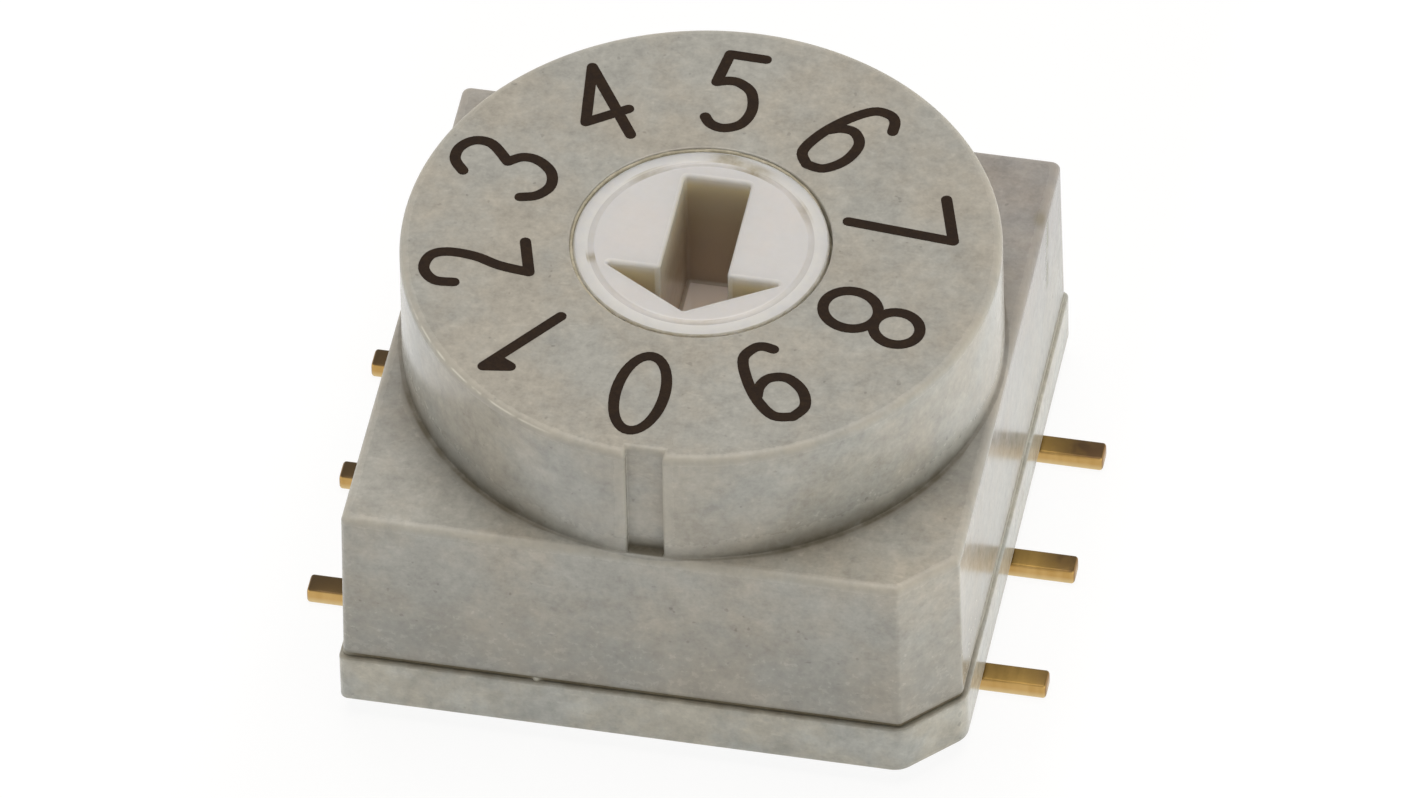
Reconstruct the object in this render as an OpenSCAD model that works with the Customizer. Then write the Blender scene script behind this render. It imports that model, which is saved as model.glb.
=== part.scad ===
// Ten-position rotary coded switch in a square sealed case, for soldering flat on a circuit board.
// Millimetres. The origin is under the middle of the case, level with the terminals' undersides.
// +Z is the rotor's axis, X crosses the two rows of terminals, and the dial's 0 faces -Y.

/* [Base] */
// Side of the square base
base_side = 10; // [9.8:0.1:10.8]
// Thickness of the base plate, from its underside up to the seam
base_t = 0.95; // [0.8:0.05:1.2]
// Leg of the corner cut that shows which way round the switch goes
corner_cut = 0.9; // [0.6:0.1:1.2]
// Radius of the three plain upright corners
corner_r = 0.12; // [0.08:0.02:0.4]
// Radius on the two upright edges of the base's corner cut
base_cut_edge_r = 0.4; // [0.1:0.05:0.5]
// Height of the deck that stands up from the base inside the cover
deck_h = 0.6; // [0.45:0.05:0.75]
// Gap all round between the deck and the cover
deck_gap = 0.03; // [0.02:0.01:0.05]
// Length of the snap ridge on each side of the deck
snap_l = 3; // [2:0.5:4]
// How far a snap ridge stands out from the deck
snap_h = 0.08; // [0.06:0.01:0.1]
// Radius of the bearing boss that carries the rotor
boss_r = 1.1; // [1.05:0.05:1.2]
// Thickness of the gasket in the seam
gasket_t = 0.08; // [0.05:0.01:0.12]
// How far the gasket lies inside the outer wall
gasket_inset = 0.15; // [0.05:0.05:0.3]

/* [Cover] */
// Height of the square part of the cover
cover_h = 3.04; // [2.9:0.02:3.5]
// How far the cover's foot is set in from the base
cover_inset = 0.06; // [0.02:0.02:0.12]
// How far each wall of the cover leans in at the top
cover_draft = 0.045; // [0.01:0.005:0.08]
// Radius along the top edges of the square part
cover_edge_r = 0.12; // [0.04:0.01:0.16]
// Radius on the two upright edges of the cover's corner cut
cover_cut_edge_r = 0.12; // [0.05:0.01:0.2]
// Thickness of the square part's walls
cover_wall = 0.8; // [0.65:0.05:0.95]
// Thickness of the square part's roof
roof_t = 0.7; // [0.5:0.05:0.9]
// Diameter of the round dial
dial_d = 9.56; // [9.4:0.02:9.58]
// Height of the dial above the square part
dial_h = 2.2; // [2:0.05:2.6]
// How much wider the dial is at its foot than at its top, on each side
dial_draft = 0.02; // [0:0.01:0.04]
// Radius along the dial's rim
dial_edge_r = 0.12; // [0.04:0.01:0.15]
// Thickness of the dial's wall round the rotor's chamber
dial_wall = 0.95; // [0.8:0.05:1]
// Thickness of the lip round the rotor's neck
lip_t = 0.55; // [0.45:0.05:0.65]
// Width of the index groove beside the dial's 0
index_w = 0.6; // [0.4:0.05:0.8]
// Depth of the index groove
index_depth = 0.16; // [0.12:0.01:0.3]

/* [Rotor] */
// Diameter of the neck that shows in the dial
neck_d = 4.07; // [4:0.01:4.14]
// Running gap round the neck
neck_gap = 0.05; // [0.03:0.01:0.08]
// How far the rotor's face lies below the dial's top
face_drop = 0.02; // [0:0.01:0.1]
// Radius along the neck's upper edge
neck_edge_r = 0.06; // [0.03:0.01:0.1]
// Width of the rim that stands round the rotor's face
face_rim_w = 0.24; // [0.12:0.02:0.28]
// Width of the fine groove inside that rim
face_groove_w = 0.12; // [0.06:0.01:0.13]
// Depth of the fine groove
face_groove_depth = 0.03; // [0.01:0.01:0.06]
// Thickness of the flange that carries the notches and the code disc
flange_t = 1.45; // [1.3:0.05:1.6]
// Gap between the flange and the chamber's wall
flange_gap = 0.33; // [0.2:0.01:0.4]
// Diameter of the pivot below the rotor
pivot_d = 1.4; // [1.2:0.1:1.6]
// Length of the pivot
pivot_l = 1.2; // [0.9:0.05:1.3]
// Running gap round the pivot
pivot_gap = 0.03; // [0.02:0.01:0.06]
// Gap between the rotor and the top of its bearing boss
thrust_gap = 0.03; // [0.02:0.01:0.06]

/* [Driver pocket] */
// Width of the pocket's straight slot
slot_w = 1.08; // [0.9:0.02:1.2]
// Distance from the axis to the slot's back end
slot_back = 1.43; // [1.2:0.01:1.5]
// Half of the arrow head's width
arrow_half_w = 1.47; // [1.2:0.01:1.52]
// Distance from the axis forward to the arrow head's back edge
arrow_back = 0.64; // [0.5:0.02:0.7]
// Distance from the axis forward to the arrow's tip
arrow_tip = 1.5; // [1.3:0.02:1.6]
// Radius of the pocket's upright corners
pocket_corner_r = 0.07; // [0.03:0.01:0.1]
// Depth of the pocket
pocket_depth = 2.4; // [2:0.05:2.5]

/* [Clicks and seal] */
// Number of positions in a turn
positions = 10;
// Radius of a click notch
notch_r = 0.34; // [0.3:0.01:0.38]
// Depth of a click notch
notch_depth = 0.14; // [0.1:0.01:0.16]
// Thickness of the click spring's sheet
click_t = 0.12; // [0.08:0.01:0.14]
// Share of the flange's face that each tongue of the click spring covers
tongue_share = 0.5; // [0.4:0.05:0.55]
// Width of the ring that is left outside each tongue's root
tongue_rail_w = 0.2; // [0.15:0.01:0.25]
// Length over which each tongue lies on the ring before it bends down
tongue_root_l = 0.3; // [0.2:0.05:0.4]
// Radius of the rounded tip that drops into a notch
click_tip_r = 0.24; // [0.2:0.01:0.26]
// Width of the two tabs that stop the click spring from turning
click_tab_w = 0.8; // [0.6:0.1:1]
// Room for the click spring between the flange and the chamber's ceiling
click_room = 0.5; // [0.45:0.01:0.6]
// Diameter of the O-ring's cord
seal_cord_d = 0.62; // [0.56:0.01:0.66]
// Play round the O-ring
seal_play = 0.03; // [0.01:0.01:0.05]
// How far the rotor's seal land reaches into the seal's bore
land_h = 0.14; // [0.1:0.02:0.2]
// Running gap round the seal land
land_gap = 0.05; // [0.03:0.01:0.08]

/* [Terminals] */
// Distance between neighbouring terminals
terminal_pitch = 2.54; // [2.5:0.02:2.6]
// Width of a terminal's foot
terminal_w = 0.4; // [0.3:0.02:0.5]
// Thickness of a terminal
terminal_t = 0.28; // [0.2:0.01:0.3]
// How far a foot stands out beyond the base
foot_out = 1.02; // [0.8:0.02:1.4]
// Gap between a foot and the underside of the base
foot_gap = 0.06; // [0.04:0.01:0.14]
// Distance from the deck's edge to a terminal's leg
leg_edge = 0.3; // [0.2:0.02:0.4]
// Radius of a terminal's bends, at the middle of its thickness
bend_r = 0.24; // [0.18:0.01:0.3]
// Length of a terminal's pad on the deck
pad_l = 0.86; // [0.7:0.02:1]
// Width of that pad
pad_w = 0.8; // [0.6:0.05:1]

/* [Contacts] */
// Thickness of the code disc
disc_t = 0.12; // [0.08:0.01:0.16]
// Gap between the code disc and the edges of its seat
disc_gap = 0.02; // [0.01:0.01:0.03]
// Distance from the flange's edge to the code disc's seat
disc_edge = 0.1; // [0.08:0.01:0.2]
// Metal left outside the outermost code track
disc_rim = 0.1; // [0.08:0.01:0.14]
// Metal left between neighbouring code tracks
track_rib = 0.14; // [0.1:0.01:0.16]
// Thickness of a contact spring
contact_t = 0.1; // [0.06:0.01:0.12]
// Width of a contact spring's arm
contact_w = 0.34; // [0.26:0.02:0.4]
// Width of the rounded tip that touches the code disc
contact_tip_w = 0.2; // [0.14:0.02:0.24]
// Radius of that tip
contact_tip_r = 0.13; // [0.1:0.01:0.15]
// Clearance between a contact tip and the code disc, as drawn
contact_gap = 0.01; // [0.01:0.01:0.03]
// Length of a contact spring's flat root, welded to its pad
contact_root_l = 0.6; // [0.4:0.05:0.7]

/* [Numerals] */
// Height of a numeral
digit_h = 1.82; // [1.4:0.01:1.9]
// Width of the numerals' strokes
stroke_w = 0.18; // [0.12:0.01:0.2]
// Thickness of the printed ink
ink_t = 0.01; // [0.01:0.005:0.03]
// How far the ring of numerals lies inside the middle of the dial's face
print_inset = 0.05; // [0:0.01:0.15]
// How far the whole print has slipped along X
print_slip_x = -0.2; // [-0.25:0.05:0.1]
// How far the whole print has slipped along Y
print_slip_y = -0.04; // [-0.1:0.02:0.1]
// How far the whole print is turned clockwise, in degrees
print_turn = 1.8; // [0:0.2:3]

/* [Hidden] */
$fn = 96;

// Overlap that makes a cut pass clean through a face
eps = 0.02;
// Thickness of a slice in a stack of outlines that are joined
slice_t = 0.01;
// Segments in the small rounded corners
corner_steps = 6;
// One click of the rotor
click_angle = 360 / positions;

// Heights, from the board up
z_base = terminal_t + foot_gap;
z_seam = z_base + base_t;
z_deck = z_seam + deck_h;
z_cover = z_seam + gasket_t;
z_roof = z_cover + cover_h;
z_top = z_roof + dial_h;
z_shelf = z_roof - roof_t;
z_lip = z_top - lip_t;
z_land = z_lip - seal_cord_d - 2 * seal_play;
z_ceiling = z_land - land_h;
z_flange = z_ceiling - click_room;
z_under = z_flange - flange_t;
z_face = z_top - face_drop;
z_pad = z_deck + terminal_t;
z_boss = z_under - thrust_gap;
z_snap = (z_cover + z_deck) / 2;

// Half widths and radii
base_half = base_side / 2;
cavity_half = base_half - cover_inset - cover_wall;
cavity_corner_r = cover_wall;
deck_half = cavity_half - deck_gap;
snap_r = 1.5 * snap_h;
dial_r = dial_d / 2;
chamber_r = dial_r - dial_wall;
neck_r = neck_d / 2;
bore_r = neck_r + neck_gap;
seal_bore_r = neck_r + seal_cord_d + 2 * seal_play;
land_r = seal_bore_r - land_gap;
flange_r = chamber_r - flange_gap;
pivot_r = pivot_d / 2;
pivot_bore_r = pivot_r + pivot_gap;

// Code tracks: the common one is innermost, then the bits 8, 4, 2 and 1
disc_in_r = boss_r + thrust_gap + 2 * disc_gap;
disc_out_r = flange_r - disc_edge - disc_gap;
track_pitch = (disc_out_r - disc_rim - disc_in_r) / 5;
window_w = track_pitch - track_rib;
function track_r(i) = disc_in_r + (i + 0.5) * track_pitch;

// Terminals and the contact springs on them: [side in X, row in Y, track, angle of the touching point]
leg_x = deck_half - leg_edge - terminal_t / 2;
pad_x = leg_x + terminal_t / 2 - pad_l / 2;
LINE_1 = [-1, -1, 4, 247];
LINE_2 = [1, -1, 3, 290];
LINE_4 = [-1, 1, 2, 118];
LINE_8 = [1, 1, 1, 55];
LINE_COMMON_LEFT = [-1, 0, 0, 180];
LINE_COMMON_RIGHT = [1, 0, 0, 0];
LINES = [LINE_1, LINE_2, LINE_4, LINE_8, LINE_COMMON_LEFT, LINE_COMMON_RIGHT];
// The coded lines, with the weight of each one's bit
BITS = [[LINE_1, 1], [LINE_2, 2], [LINE_4, 4], [LINE_8, 8]];

// Click spring: each tongue is as long as the width of ring kept outside its root allows
tongue_w = tongue_share * (flange_r - land_r);
click_ring_out_r = chamber_r - 0.25 * flange_gap;
click_ring_in_r = seal_bore_r + land_gap;
click_slot_play = 0.08;
click_tab_out = dial_wall / 4;
click_r = land_r + 2 * land_gap + tongue_w / 2;
click_window_y = click_r + tongue_w / 2 + click_slot_play;
tongue_l = sqrt(pow(click_ring_out_r - tongue_rail_w, 2) - pow(click_window_y, 2));

// Geometry helpers

function unit(v) = v / norm(v);
// The same angle, brought between -180 and 180
function short_turn(a) = a - 360 * round(a / 360);
// Points of an ellipse about [x, y]
function ellipse(x, y, a, b, n = 36) =
    [for (i = [0 : n - 1]) [x + a * cos(360 * i / n), y + b * sin(360 * i / n)]];

// Points that round the corner at p, between the points before and after it
function round_corner(before, p, after, r, n = corner_steps) =
    let (
        u = unit(before - p),
        v = unit(after - p),
        half = acos(u * v) / 2,
        centre = p + unit(u + v) * r / sin(half),
        first = p + u * r / tan(half) - centre,
        last = p + v * r / tan(half) - centre,
        start = atan2(first.y, first.x),
        sweep = short_turn(atan2(last.y, last.x) - start)
    )
    [for (i = [0 : n]) centre + r * [cos(start + sweep * i / n), sin(start + sweep * i / n)]];

// A closed outline with its corners rounded, one radius for each corner
function round_outline(p, radii) =
    let (n = len(p))
    [for (i = [0 : n - 1]) each round_corner(p[(i + n - 1) % n], p[i], p[(i + 1) % n], radii[i])];

// An open path with its inner corners rounded
function round_path(p, r) =
    let (last = len(p) - 1)
    [p[0], for (i = [1 : last - 1]) each round_corner(p[i - 1], p[i], p[i + 1], r), p[last]];

// Direction across an open path at its point i
function across(p, i) =
    let (d = unit(p[min(i + 1, len(p) - 1)] - p[max(i - 1, 0)]))
    [-d.y, d.x];

// Outline of a strip of width w along an open path, with square ends
function strip_outline(p, w) =
    concat(
        [for (i = [0 : len(p) - 1]) p[i] + across(p, i) * w / 2],
        [for (i = [len(p) - 1 : -1 : 0]) p[i] - across(p, i) * w / 2]
    );

// A sheet strip bent along a path in the XZ plane, centred on y = 0
module bent_strip(p, t, w) {
    rotate([90, 0, 0])
        translate([0, 0, -w / 2])
            linear_extrude(w)
                polygon(strip_outline(p, t));
}

// Outline of the case, set in all round by a distance, with its own radius on the edges of the corner cut
function case_outline(inset, cut_edge_r) =
    let (
        h = base_half - inset,
        cut = corner_cut - inset * (2 - sqrt(2))
    )
    round_outline(
        [[-h, -h], [h - cut, -h], [h, -h + cut], [h, h], [-h, h]],
        [corner_r, cut_edge_r, cut_edge_r, corner_r, corner_r]
    );

// Outline of a square with round corners, as the cover's cavity and the base's deck have
function square_outline(h, r) = round_outline([[-h, -h], [h, -h], [h, h], [-h, h]], [r, r, r, r]);

// A round bar along each side of the deck, for the snap ridges and their grooves
module snap_bars(r, l) {
    for (a = [0 : 90 : 270])
        rotate([0, 0, a])
            translate([deck_half + snap_h - snap_r, 0, z_snap])
                rotate([90, 0, 0])
                    cylinder(r = r, h = l, center = true);
}

// Base: plate, deck and bearing boss, moulded round the terminals

module base() {
    color([0.66, 0.65, 0.61])
        difference() {
            union() {
                translate([0, 0, z_base])
                    linear_extrude(base_t)
                        polygon(case_outline(0, base_cut_edge_r));
                translate([0, 0, z_seam - eps])
                    linear_extrude(deck_h + eps)
                        polygon(square_outline(deck_half, cavity_corner_r - deck_gap));
                snap_bars(snap_r, snap_l);
                translate([0, 0, z_deck - eps])
                    cylinder(r = boss_r, h = z_boss - z_deck + eps);
            }
            translate([0, 0, z_under - pivot_l - 2 * thrust_gap])
                cylinder(r = pivot_bore_r, h = pivot_l + 2 * thrust_gap);
            for (line = LINES)
                terminal_shape(line);
        }
}

// Gasket that fills the seam between base and cover

module base_gasket() {
    color([0.2, 0.18, 0.16])
        translate([0, 0, z_seam])
            linear_extrude(gasket_t)
                difference() {
                    polygon(case_outline(cover_inset + gasket_inset, cover_cut_edge_r));
                    polygon(square_outline(cavity_half, cavity_corner_r));
                }
}

// Cover: square part, round dial and the stepped bore for the rotor, in one moulding

module cover_block() {
    wall_inset = cover_inset + cover_draft;
    hull() {
        translate([0, 0, z_cover])
            linear_extrude(slice_t)
                polygon(case_outline(cover_inset, cover_cut_edge_r));
        for (i = [0 : 4])
            translate([0, 0, z_roof - cover_edge_r * (1 - sin(22.5 * i)) - slice_t])
                linear_extrude(slice_t)
                    polygon(case_outline(wall_inset + cover_edge_r * (1 - cos(22.5 * i)), cover_cut_edge_r));
    }
}

module dial_drum() {
    rotate_extrude()
        polygon(concat(
            [[0, z_shelf], [dial_r + dial_draft, z_shelf], [dial_r + dial_draft, z_roof]],
            [for (i = [0 : 4])
                [dial_r - dial_edge_r * (1 - cos(22.5 * i)), z_top - dial_edge_r * (1 - sin(22.5 * i))]],
            [[0, z_top]]
        ));
}

// Chamber, seal bore and neck bore, from the square cavity up through the dial
module rotor_bore() {
    rotate_extrude()
        polygon([
            [0, z_shelf - eps], [chamber_r, z_shelf - eps], [chamber_r, z_ceiling],
            [seal_bore_r, z_ceiling], [seal_bore_r, z_lip],
            [bore_r, z_lip], [bore_r, z_top + 1], [0, z_top + 1]
        ]);
}

module cover() {
    color([0.69, 0.67, 0.63])
        difference() {
            union() {
                cover_block();
                dial_drum();
            }
            translate([0, 0, z_cover - eps])
                linear_extrude(z_shelf - z_cover + eps)
                    polygon(square_outline(cavity_half, cavity_corner_r));
            rotor_bore();
            snap_bars(snap_r + deck_gap, snap_l + 2 * deck_gap);
            for (side = [-1, 1])
                translate([side * chamber_r, 0, (z_shelf + z_ceiling - eps) / 2])
                    cube([
                        2 * (click_tab_out + click_slot_play),
                        click_tab_w + 2 * click_slot_play,
                        z_ceiling - z_shelf + eps
                    ], center = true);
            translate([-index_w / 2, -dial_r - 1, z_roof])
                cube([index_w, 1 + index_depth, dial_h + 1]);
        }
}

// Rotor: pivot, flange, seal land and neck turned about one axis, with the driver pocket

module rotor_body() {
    rim_r = neck_r - face_rim_w;
    groove_z = z_face - face_groove_depth;
    rotate_extrude()
        polygon(concat(
            [[0, z_under - pivot_l], [pivot_r, z_under - pivot_l], [pivot_r, z_under]],
            [[flange_r, z_under], [flange_r, z_flange], [land_r, z_flange]],
            [[land_r, z_land], [neck_r, z_land]],
            [for (i = [0 : 4])
                [neck_r - neck_edge_r * (1 - cos(22.5 * i)), z_face - neck_edge_r * (1 - sin(22.5 * i))]],
            [[rim_r, z_face], [rim_r, groove_z]],
            [[rim_r - face_groove_w, groove_z], [rim_r - face_groove_w, z_face], [0, z_face]]
        ));
}

module driver_pocket() {
    half = slot_w / 2;
    r = pocket_corner_r;
    translate([0, 0, z_face - pocket_depth])
        linear_extrude(pocket_depth + 1)
            polygon(round_outline(
                [
                    [-half, slot_back], [-half, -arrow_back], [-arrow_half_w, -arrow_back], [0, -arrow_tip],
                    [arrow_half_w, -arrow_back], [half, -arrow_back], [half, slot_back]
                ],
                [r, r, r / 2, r, r / 2, r, r]
            ));
}

module click_notches() {
    for (k = [0 : positions - 1])
        rotate([0, 0, 90 + click_angle * k])
            translate([land_r + land_gap, 0, z_flange + notch_r - notch_depth])
                rotate([0, 90, 0])
                    cylinder(r = notch_r, h = flange_r);
}

// Whether a position of the dial leaves a bit's line open
function is_open(weight, k) = floor((k % positions) / weight) % 2 == 0;
// How many positions in a row leave it open, from k on
function open_run(weight, k) = is_open(weight, k) ? 1 + open_run(weight, k + 1) : 0;

// The insulating windows of the code disc, each narrower all round by a gap
module code_windows(gap, h) {
    for (bit = BITS)
        for (k = [0 : positions - 1])
            if (is_open(bit[1], k) && !is_open(bit[1], k + positions - 1)) {
                r = track_r(bit[0][2]);
                gap_angle = gap / r * 180 / PI;
                rotate([0, 0, bit[0][3] + click_angle * (k - 0.5) + gap_angle])
                    rotate_extrude(angle = click_angle * open_run(bit[1], k) - 2 * gap_angle)
                        translate([r - window_w / 2 + gap, 0])
                            square([window_w - 2 * gap, h]);
            }
}

// Seat of the code disc in the rotor's underside, with the islands that fill its windows left standing
module disc_seat() {
    translate([0, 0, z_under])
        difference() {
            translate([0, 0, -disc_t])
                difference() {
                    cylinder(r = disc_out_r + disc_gap, h = 2 * disc_t);
                    translate([0, 0, -disc_t])
                        cylinder(r = disc_in_r - disc_gap, h = 4 * disc_t);
                }
            code_windows(disc_gap / 2, 2 * disc_t);
        }
}

module rotor() {
    color([0.84, 0.82, 0.78])
        difference() {
            rotor_body();
            driver_pocket();
            click_notches();
            disc_seat();
        }
}

// Code disc: stamped plate, open where the dial's number has no such bit

module code_disc() {
    color([0.83, 0.67, 0.35])
        translate([0, 0, z_under])
            difference() {
                cylinder(r = disc_out_r, h = disc_t);
                translate([0, 0, -disc_t])
                    cylinder(r = disc_in_r, h = 3 * disc_t);
                translate([0, 0, -disc_t])
                    code_windows(0, 3 * disc_t);
            }
}

// O-ring that seals the rotor's neck

module rotor_seal() {
    color([0.12, 0.12, 0.12])
        rotate_extrude()
            translate([neck_r + seal_play + seal_cord_d / 2, z_land + seal_play + seal_cord_d / 2])
                circle(d = seal_cord_d, $fn = 48);
}

// Click spring: ring under the chamber's ceiling, with two tongues whose tips sit in the notches

module click_tongue() {
    z_sheet = z_ceiling - click_t / 2;
    z_tip = z_flange - notch_depth + contact_gap + click_tip_r;
    curl_r = click_tip_r - click_t / 2;
    curl = [for (i = [0 : 8]) [-curl_r * cos(22.5 * i), z_tip - curl_r * sin(22.5 * i)]];
    path = concat([[-tongue_l - tongue_root_l, z_sheet], [-tongue_l, z_sheet]], curl);
    translate([0, click_r, 0])
        bent_strip(path, click_t, tongue_w);
}

module click_spring() {
    color([0.72, 0.73, 0.75]) {
        difference() {
            translate([0, 0, z_ceiling - click_t])
                union() {
                    cylinder(r = click_ring_out_r, h = click_t);
                    translate([0, 0, click_t / 2])
                        cube([2 * (chamber_r + click_tab_out), click_tab_w, click_t], center = true);
                }
            translate([0, 0, z_ceiling - 2 * click_t])
                cylinder(r = click_ring_in_r, h = 3 * click_t);
            for (a = [0, 180])
                rotate([0, 0, a])
                    translate([-tongue_l, 0, z_ceiling - 2 * click_t])
                        cube([tongue_l + click_tip_r + click_slot_play, click_window_y, 3 * click_t]);
        }
        for (a = [0, 180])
            rotate([0, 0, a])
                click_tongue();
    }
}

// Terminals: foot on the board, leg up through the base, pad on the deck

module terminal_shape(line) {
    foot_z = terminal_t / 2;
    deck_z = z_deck + terminal_t / 2;
    path = round_path(
        [[base_half + foot_out, foot_z], [leg_x, foot_z], [leg_x, deck_z], [pad_x, deck_z]],
        bend_r
    );
    translate([0, line[1] * terminal_pitch, 0])
        mirror([line[0] < 0 ? 1 : 0, 0, 0]) {
            bent_strip(path, terminal_t, terminal_w);
            translate([leg_x + terminal_t / 2 - pad_l, -pad_w / 2, z_deck])
                cube([pad_l - bend_r - terminal_t / 2, pad_w, terminal_t]);
        }
}

module terminal(line) {
    color([0.85, 0.68, 0.32])
        terminal_shape(line);
}

module terminal_1() { terminal(LINE_1); }
module terminal_2() { terminal(LINE_2); }
module terminal_4() { terminal(LINE_4); }
module terminal_8() { terminal(LINE_8); }
module terminal_common_left() { terminal(LINE_COMMON_LEFT); }
module terminal_common_right() { terminal(LINE_COMMON_RIGHT); }

// Contact springs: flat root on the terminal's pad, arm up to the code disc, rounded tip

module contact(line) {
    root = [line[0] * (pad_x - bend_r / 2), line[1] * terminal_pitch];
    touch = track_r(line[2]) * [cos(line[3]), sin(line[3])];
    reach = norm(touch - root);
    heading = atan2(touch.y - root.y, touch.x - root.x);
    z_root = z_pad + contact_t / 2;
    z_tip = z_under - contact_gap - contact_tip_r;
    half_root = contact_root_l / 2;
    path = [[-half_root, z_root], [half_root, z_root], [reach, z_tip]];
    color([0.86, 0.7, 0.36])
        translate([root.x, root.y, 0])
            rotate([0, 0, heading]) {
                bent_strip(path, contact_t, contact_w);
                translate([reach, 0, z_tip])
                    rotate([90, 0, 0])
                        cylinder(r = contact_tip_r, h = contact_tip_w, center = true, $fn = 32);
            }
}

module contact_1() { contact(LINE_1); }
module contact_2() { contact(LINE_2); }
module contact_4() { contact(LINE_4); }
module contact_8() { contact(LINE_8); }
module contact_common_left() { contact(LINE_COMMON_LEFT); }
module contact_common_right() { contact(LINE_COMMON_RIGHT); }

// Numerals: strokes of one width with round ends. Their middle lines are drawn on a height of 2,
// from -1 to 1, and brought to the height of a numeral.

digit_scale = (digit_h - stroke_w) / 2;
print_r = (bore_r + dial_r) / 2 - print_inset;

// A point of the smooth curve through a, b, c and d, t of the way from b to c
function curve_point(a, b, c, d, t) =
    (2 * b + (c - a) * t + (2 * a - 5 * b + 4 * c - d) * t * t + (3 * b - a - 3 * c + d) * t * t * t) / 2;

function smooth(p, n = 5) =
    let (last = len(p) - 1)
    [
        for (i = [0 : last - 1])
            for (j = [0 : n - 1])
                curve_point(p[max(i - 1, 0)], p[i], p[i + 1], p[min(i + 2, last)], j / n),
        p[last]
    ];

// Half circle of ink that ends a stroke at p, on the far side of the direction d
function round_end(p, d, n = 6) =
    let (a = atan2(d.y, d.x))
    [for (i = [1 : n - 1]) p + stroke_w / 2 * [cos(a - 180 * i / n), sin(a - 180 * i / n)]];

module stroke(middle) {
    p = middle * digit_scale;
    last = len(p) - 1;
    polygon(concat(
        [for (i = [0 : last]) p[i] + across(p, i) * stroke_w / 2],
        round_end(p[last], across(p, last)),
        [for (i = [last : -1 : 0]) p[i] - across(p, i) * stroke_w / 2],
        round_end(p[0], -across(p, 0))
    ));
}

module loop_stroke(x, y, a, b) {
    s = digit_scale;
    difference() {
        polygon(ellipse(x * s, y * s, a * s + stroke_w / 2, b * s + stroke_w / 2));
        polygon(ellipse(x * s, y * s, a * s - stroke_w / 2, b * s - stroke_w / 2));
    }
}

module digit(k) {
    if (k == 0)
        loop_stroke(0, 0, 0.47, 1);
    if (k == 1) {
        stroke([[0.14, 0.98], [0.14, -1]]);
        stroke([[0.14, 0.98], [-0.22, 0.6]]);
        stroke([[-0.22, 0.6], [0.14, 0.66]]);
    }
    if (k == 2) {
        stroke(smooth([
            [-0.59, 0.46], [-0.49, 0.84], [-0.16, 1.01], [0.17, 0.86], [0.24, 0.52], [0.06, 0],
            [-0.24, -0.45], [-0.48, -1]
        ]));
        stroke([[-0.48, -1], [0.34, -1]]);
    }
    if (k == 3) {
        stroke(smooth([
            [-0.52, 0.65], [-0.33, 0.94], [-0.02, 1.03], [0.29, 0.88], [0.38, 0.53], [0.12, 0.02]
        ]));
        stroke(smooth([
            [0.12, 0.02], [0.37, -0.17], [0.44, -0.48], [0.29, -0.86], [-0.04, -1.04], [-0.38, -0.94],
            [-0.58, -0.68]
        ]));
    }
    if (k == 4) {
        stroke([[0.16, 1], [-0.54, -0.33]]);
        stroke([[-0.54, -0.33], [0.36, -0.34]]);
        stroke([[0.16, 1], [0.12, -1]]);
    }
    if (k == 5) {
        stroke([[0.39, 1.01], [-0.33, 1.01]]);
        stroke([[-0.33, 1.01], [-0.42, 0.22]]);
        stroke(smooth([
            [-0.42, 0.22], [-0.18, 0.3], [0.05, 0.27], [0.31, 0.06], [0.42, -0.39], [0.3, -0.8],
            [-0.01, -0.98], [-0.28, -0.92], [-0.43, -0.75]
        ]));
    }
    if (k == 6) {
        stroke(smooth([
            [0.42, 0.78], [0.25, 0.99], [0.04, 1.04], [-0.24, 0.87], [-0.42, 0.34], [-0.47, -0.3],
            [-0.36, -0.86], [-0.04, -1.04]
        ]));
        stroke(smooth([
            [-0.04, -1.04], [0.27, -0.87], [0.39, -0.41], [0.25, 0.06], [-0.06, 0.22], [-0.31, 0.1],
            [-0.44, -0.1]
        ]));
    }
    if (k == 7) {
        stroke([[-0.6, 0.95], [0.53, 0.97]]);
        stroke([[0.53, 0.97], [-0.22, -1]]);
    }
    if (k == 8) {
        loop_stroke(-0.01, 0.54, 0.42, 0.46);
        loop_stroke(0, -0.48, 0.49, 0.55);
    }
    if (k == 9) {
        stroke(smooth([
            [-0.37, -0.81], [-0.22, -0.96], [-0.03, -0.99], [0.26, -0.82], [0.41, -0.3], [0.45, 0.3],
            [0.33, 0.8], [0, 0.98]
        ]));
        stroke(smooth([
            [0, 0.98], [-0.32, 0.82], [-0.44, 0.42], [-0.31, 0], [0, -0.14], [0.26, -0.02], [0.41, 0.2]
        ]));
    }
}

module dial_numbers() {
    color([0.17, 0.14, 0.12])
        translate([print_slip_x, print_slip_y, z_top])
            linear_extrude(ink_t)
                for (k = [0 : positions - 1])
                    rotate(-click_angle * k - print_turn)
                        translate([0, -print_r])
                            rotate(180)
                                digit(k);
}

base();
cover();
base_gasket();
rotor();
rotor_seal();
click_spring();
code_disc();
dial_numbers();
terminal_1();
terminal_2();
terminal_4();
terminal_8();
terminal_common_left();
terminal_common_right();
contact_1();
contact_2();
contact_4();
contact_8();
contact_common_left();
contact_common_right();
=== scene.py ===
import bpy
import numpy as np
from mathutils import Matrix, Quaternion, Vector


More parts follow.
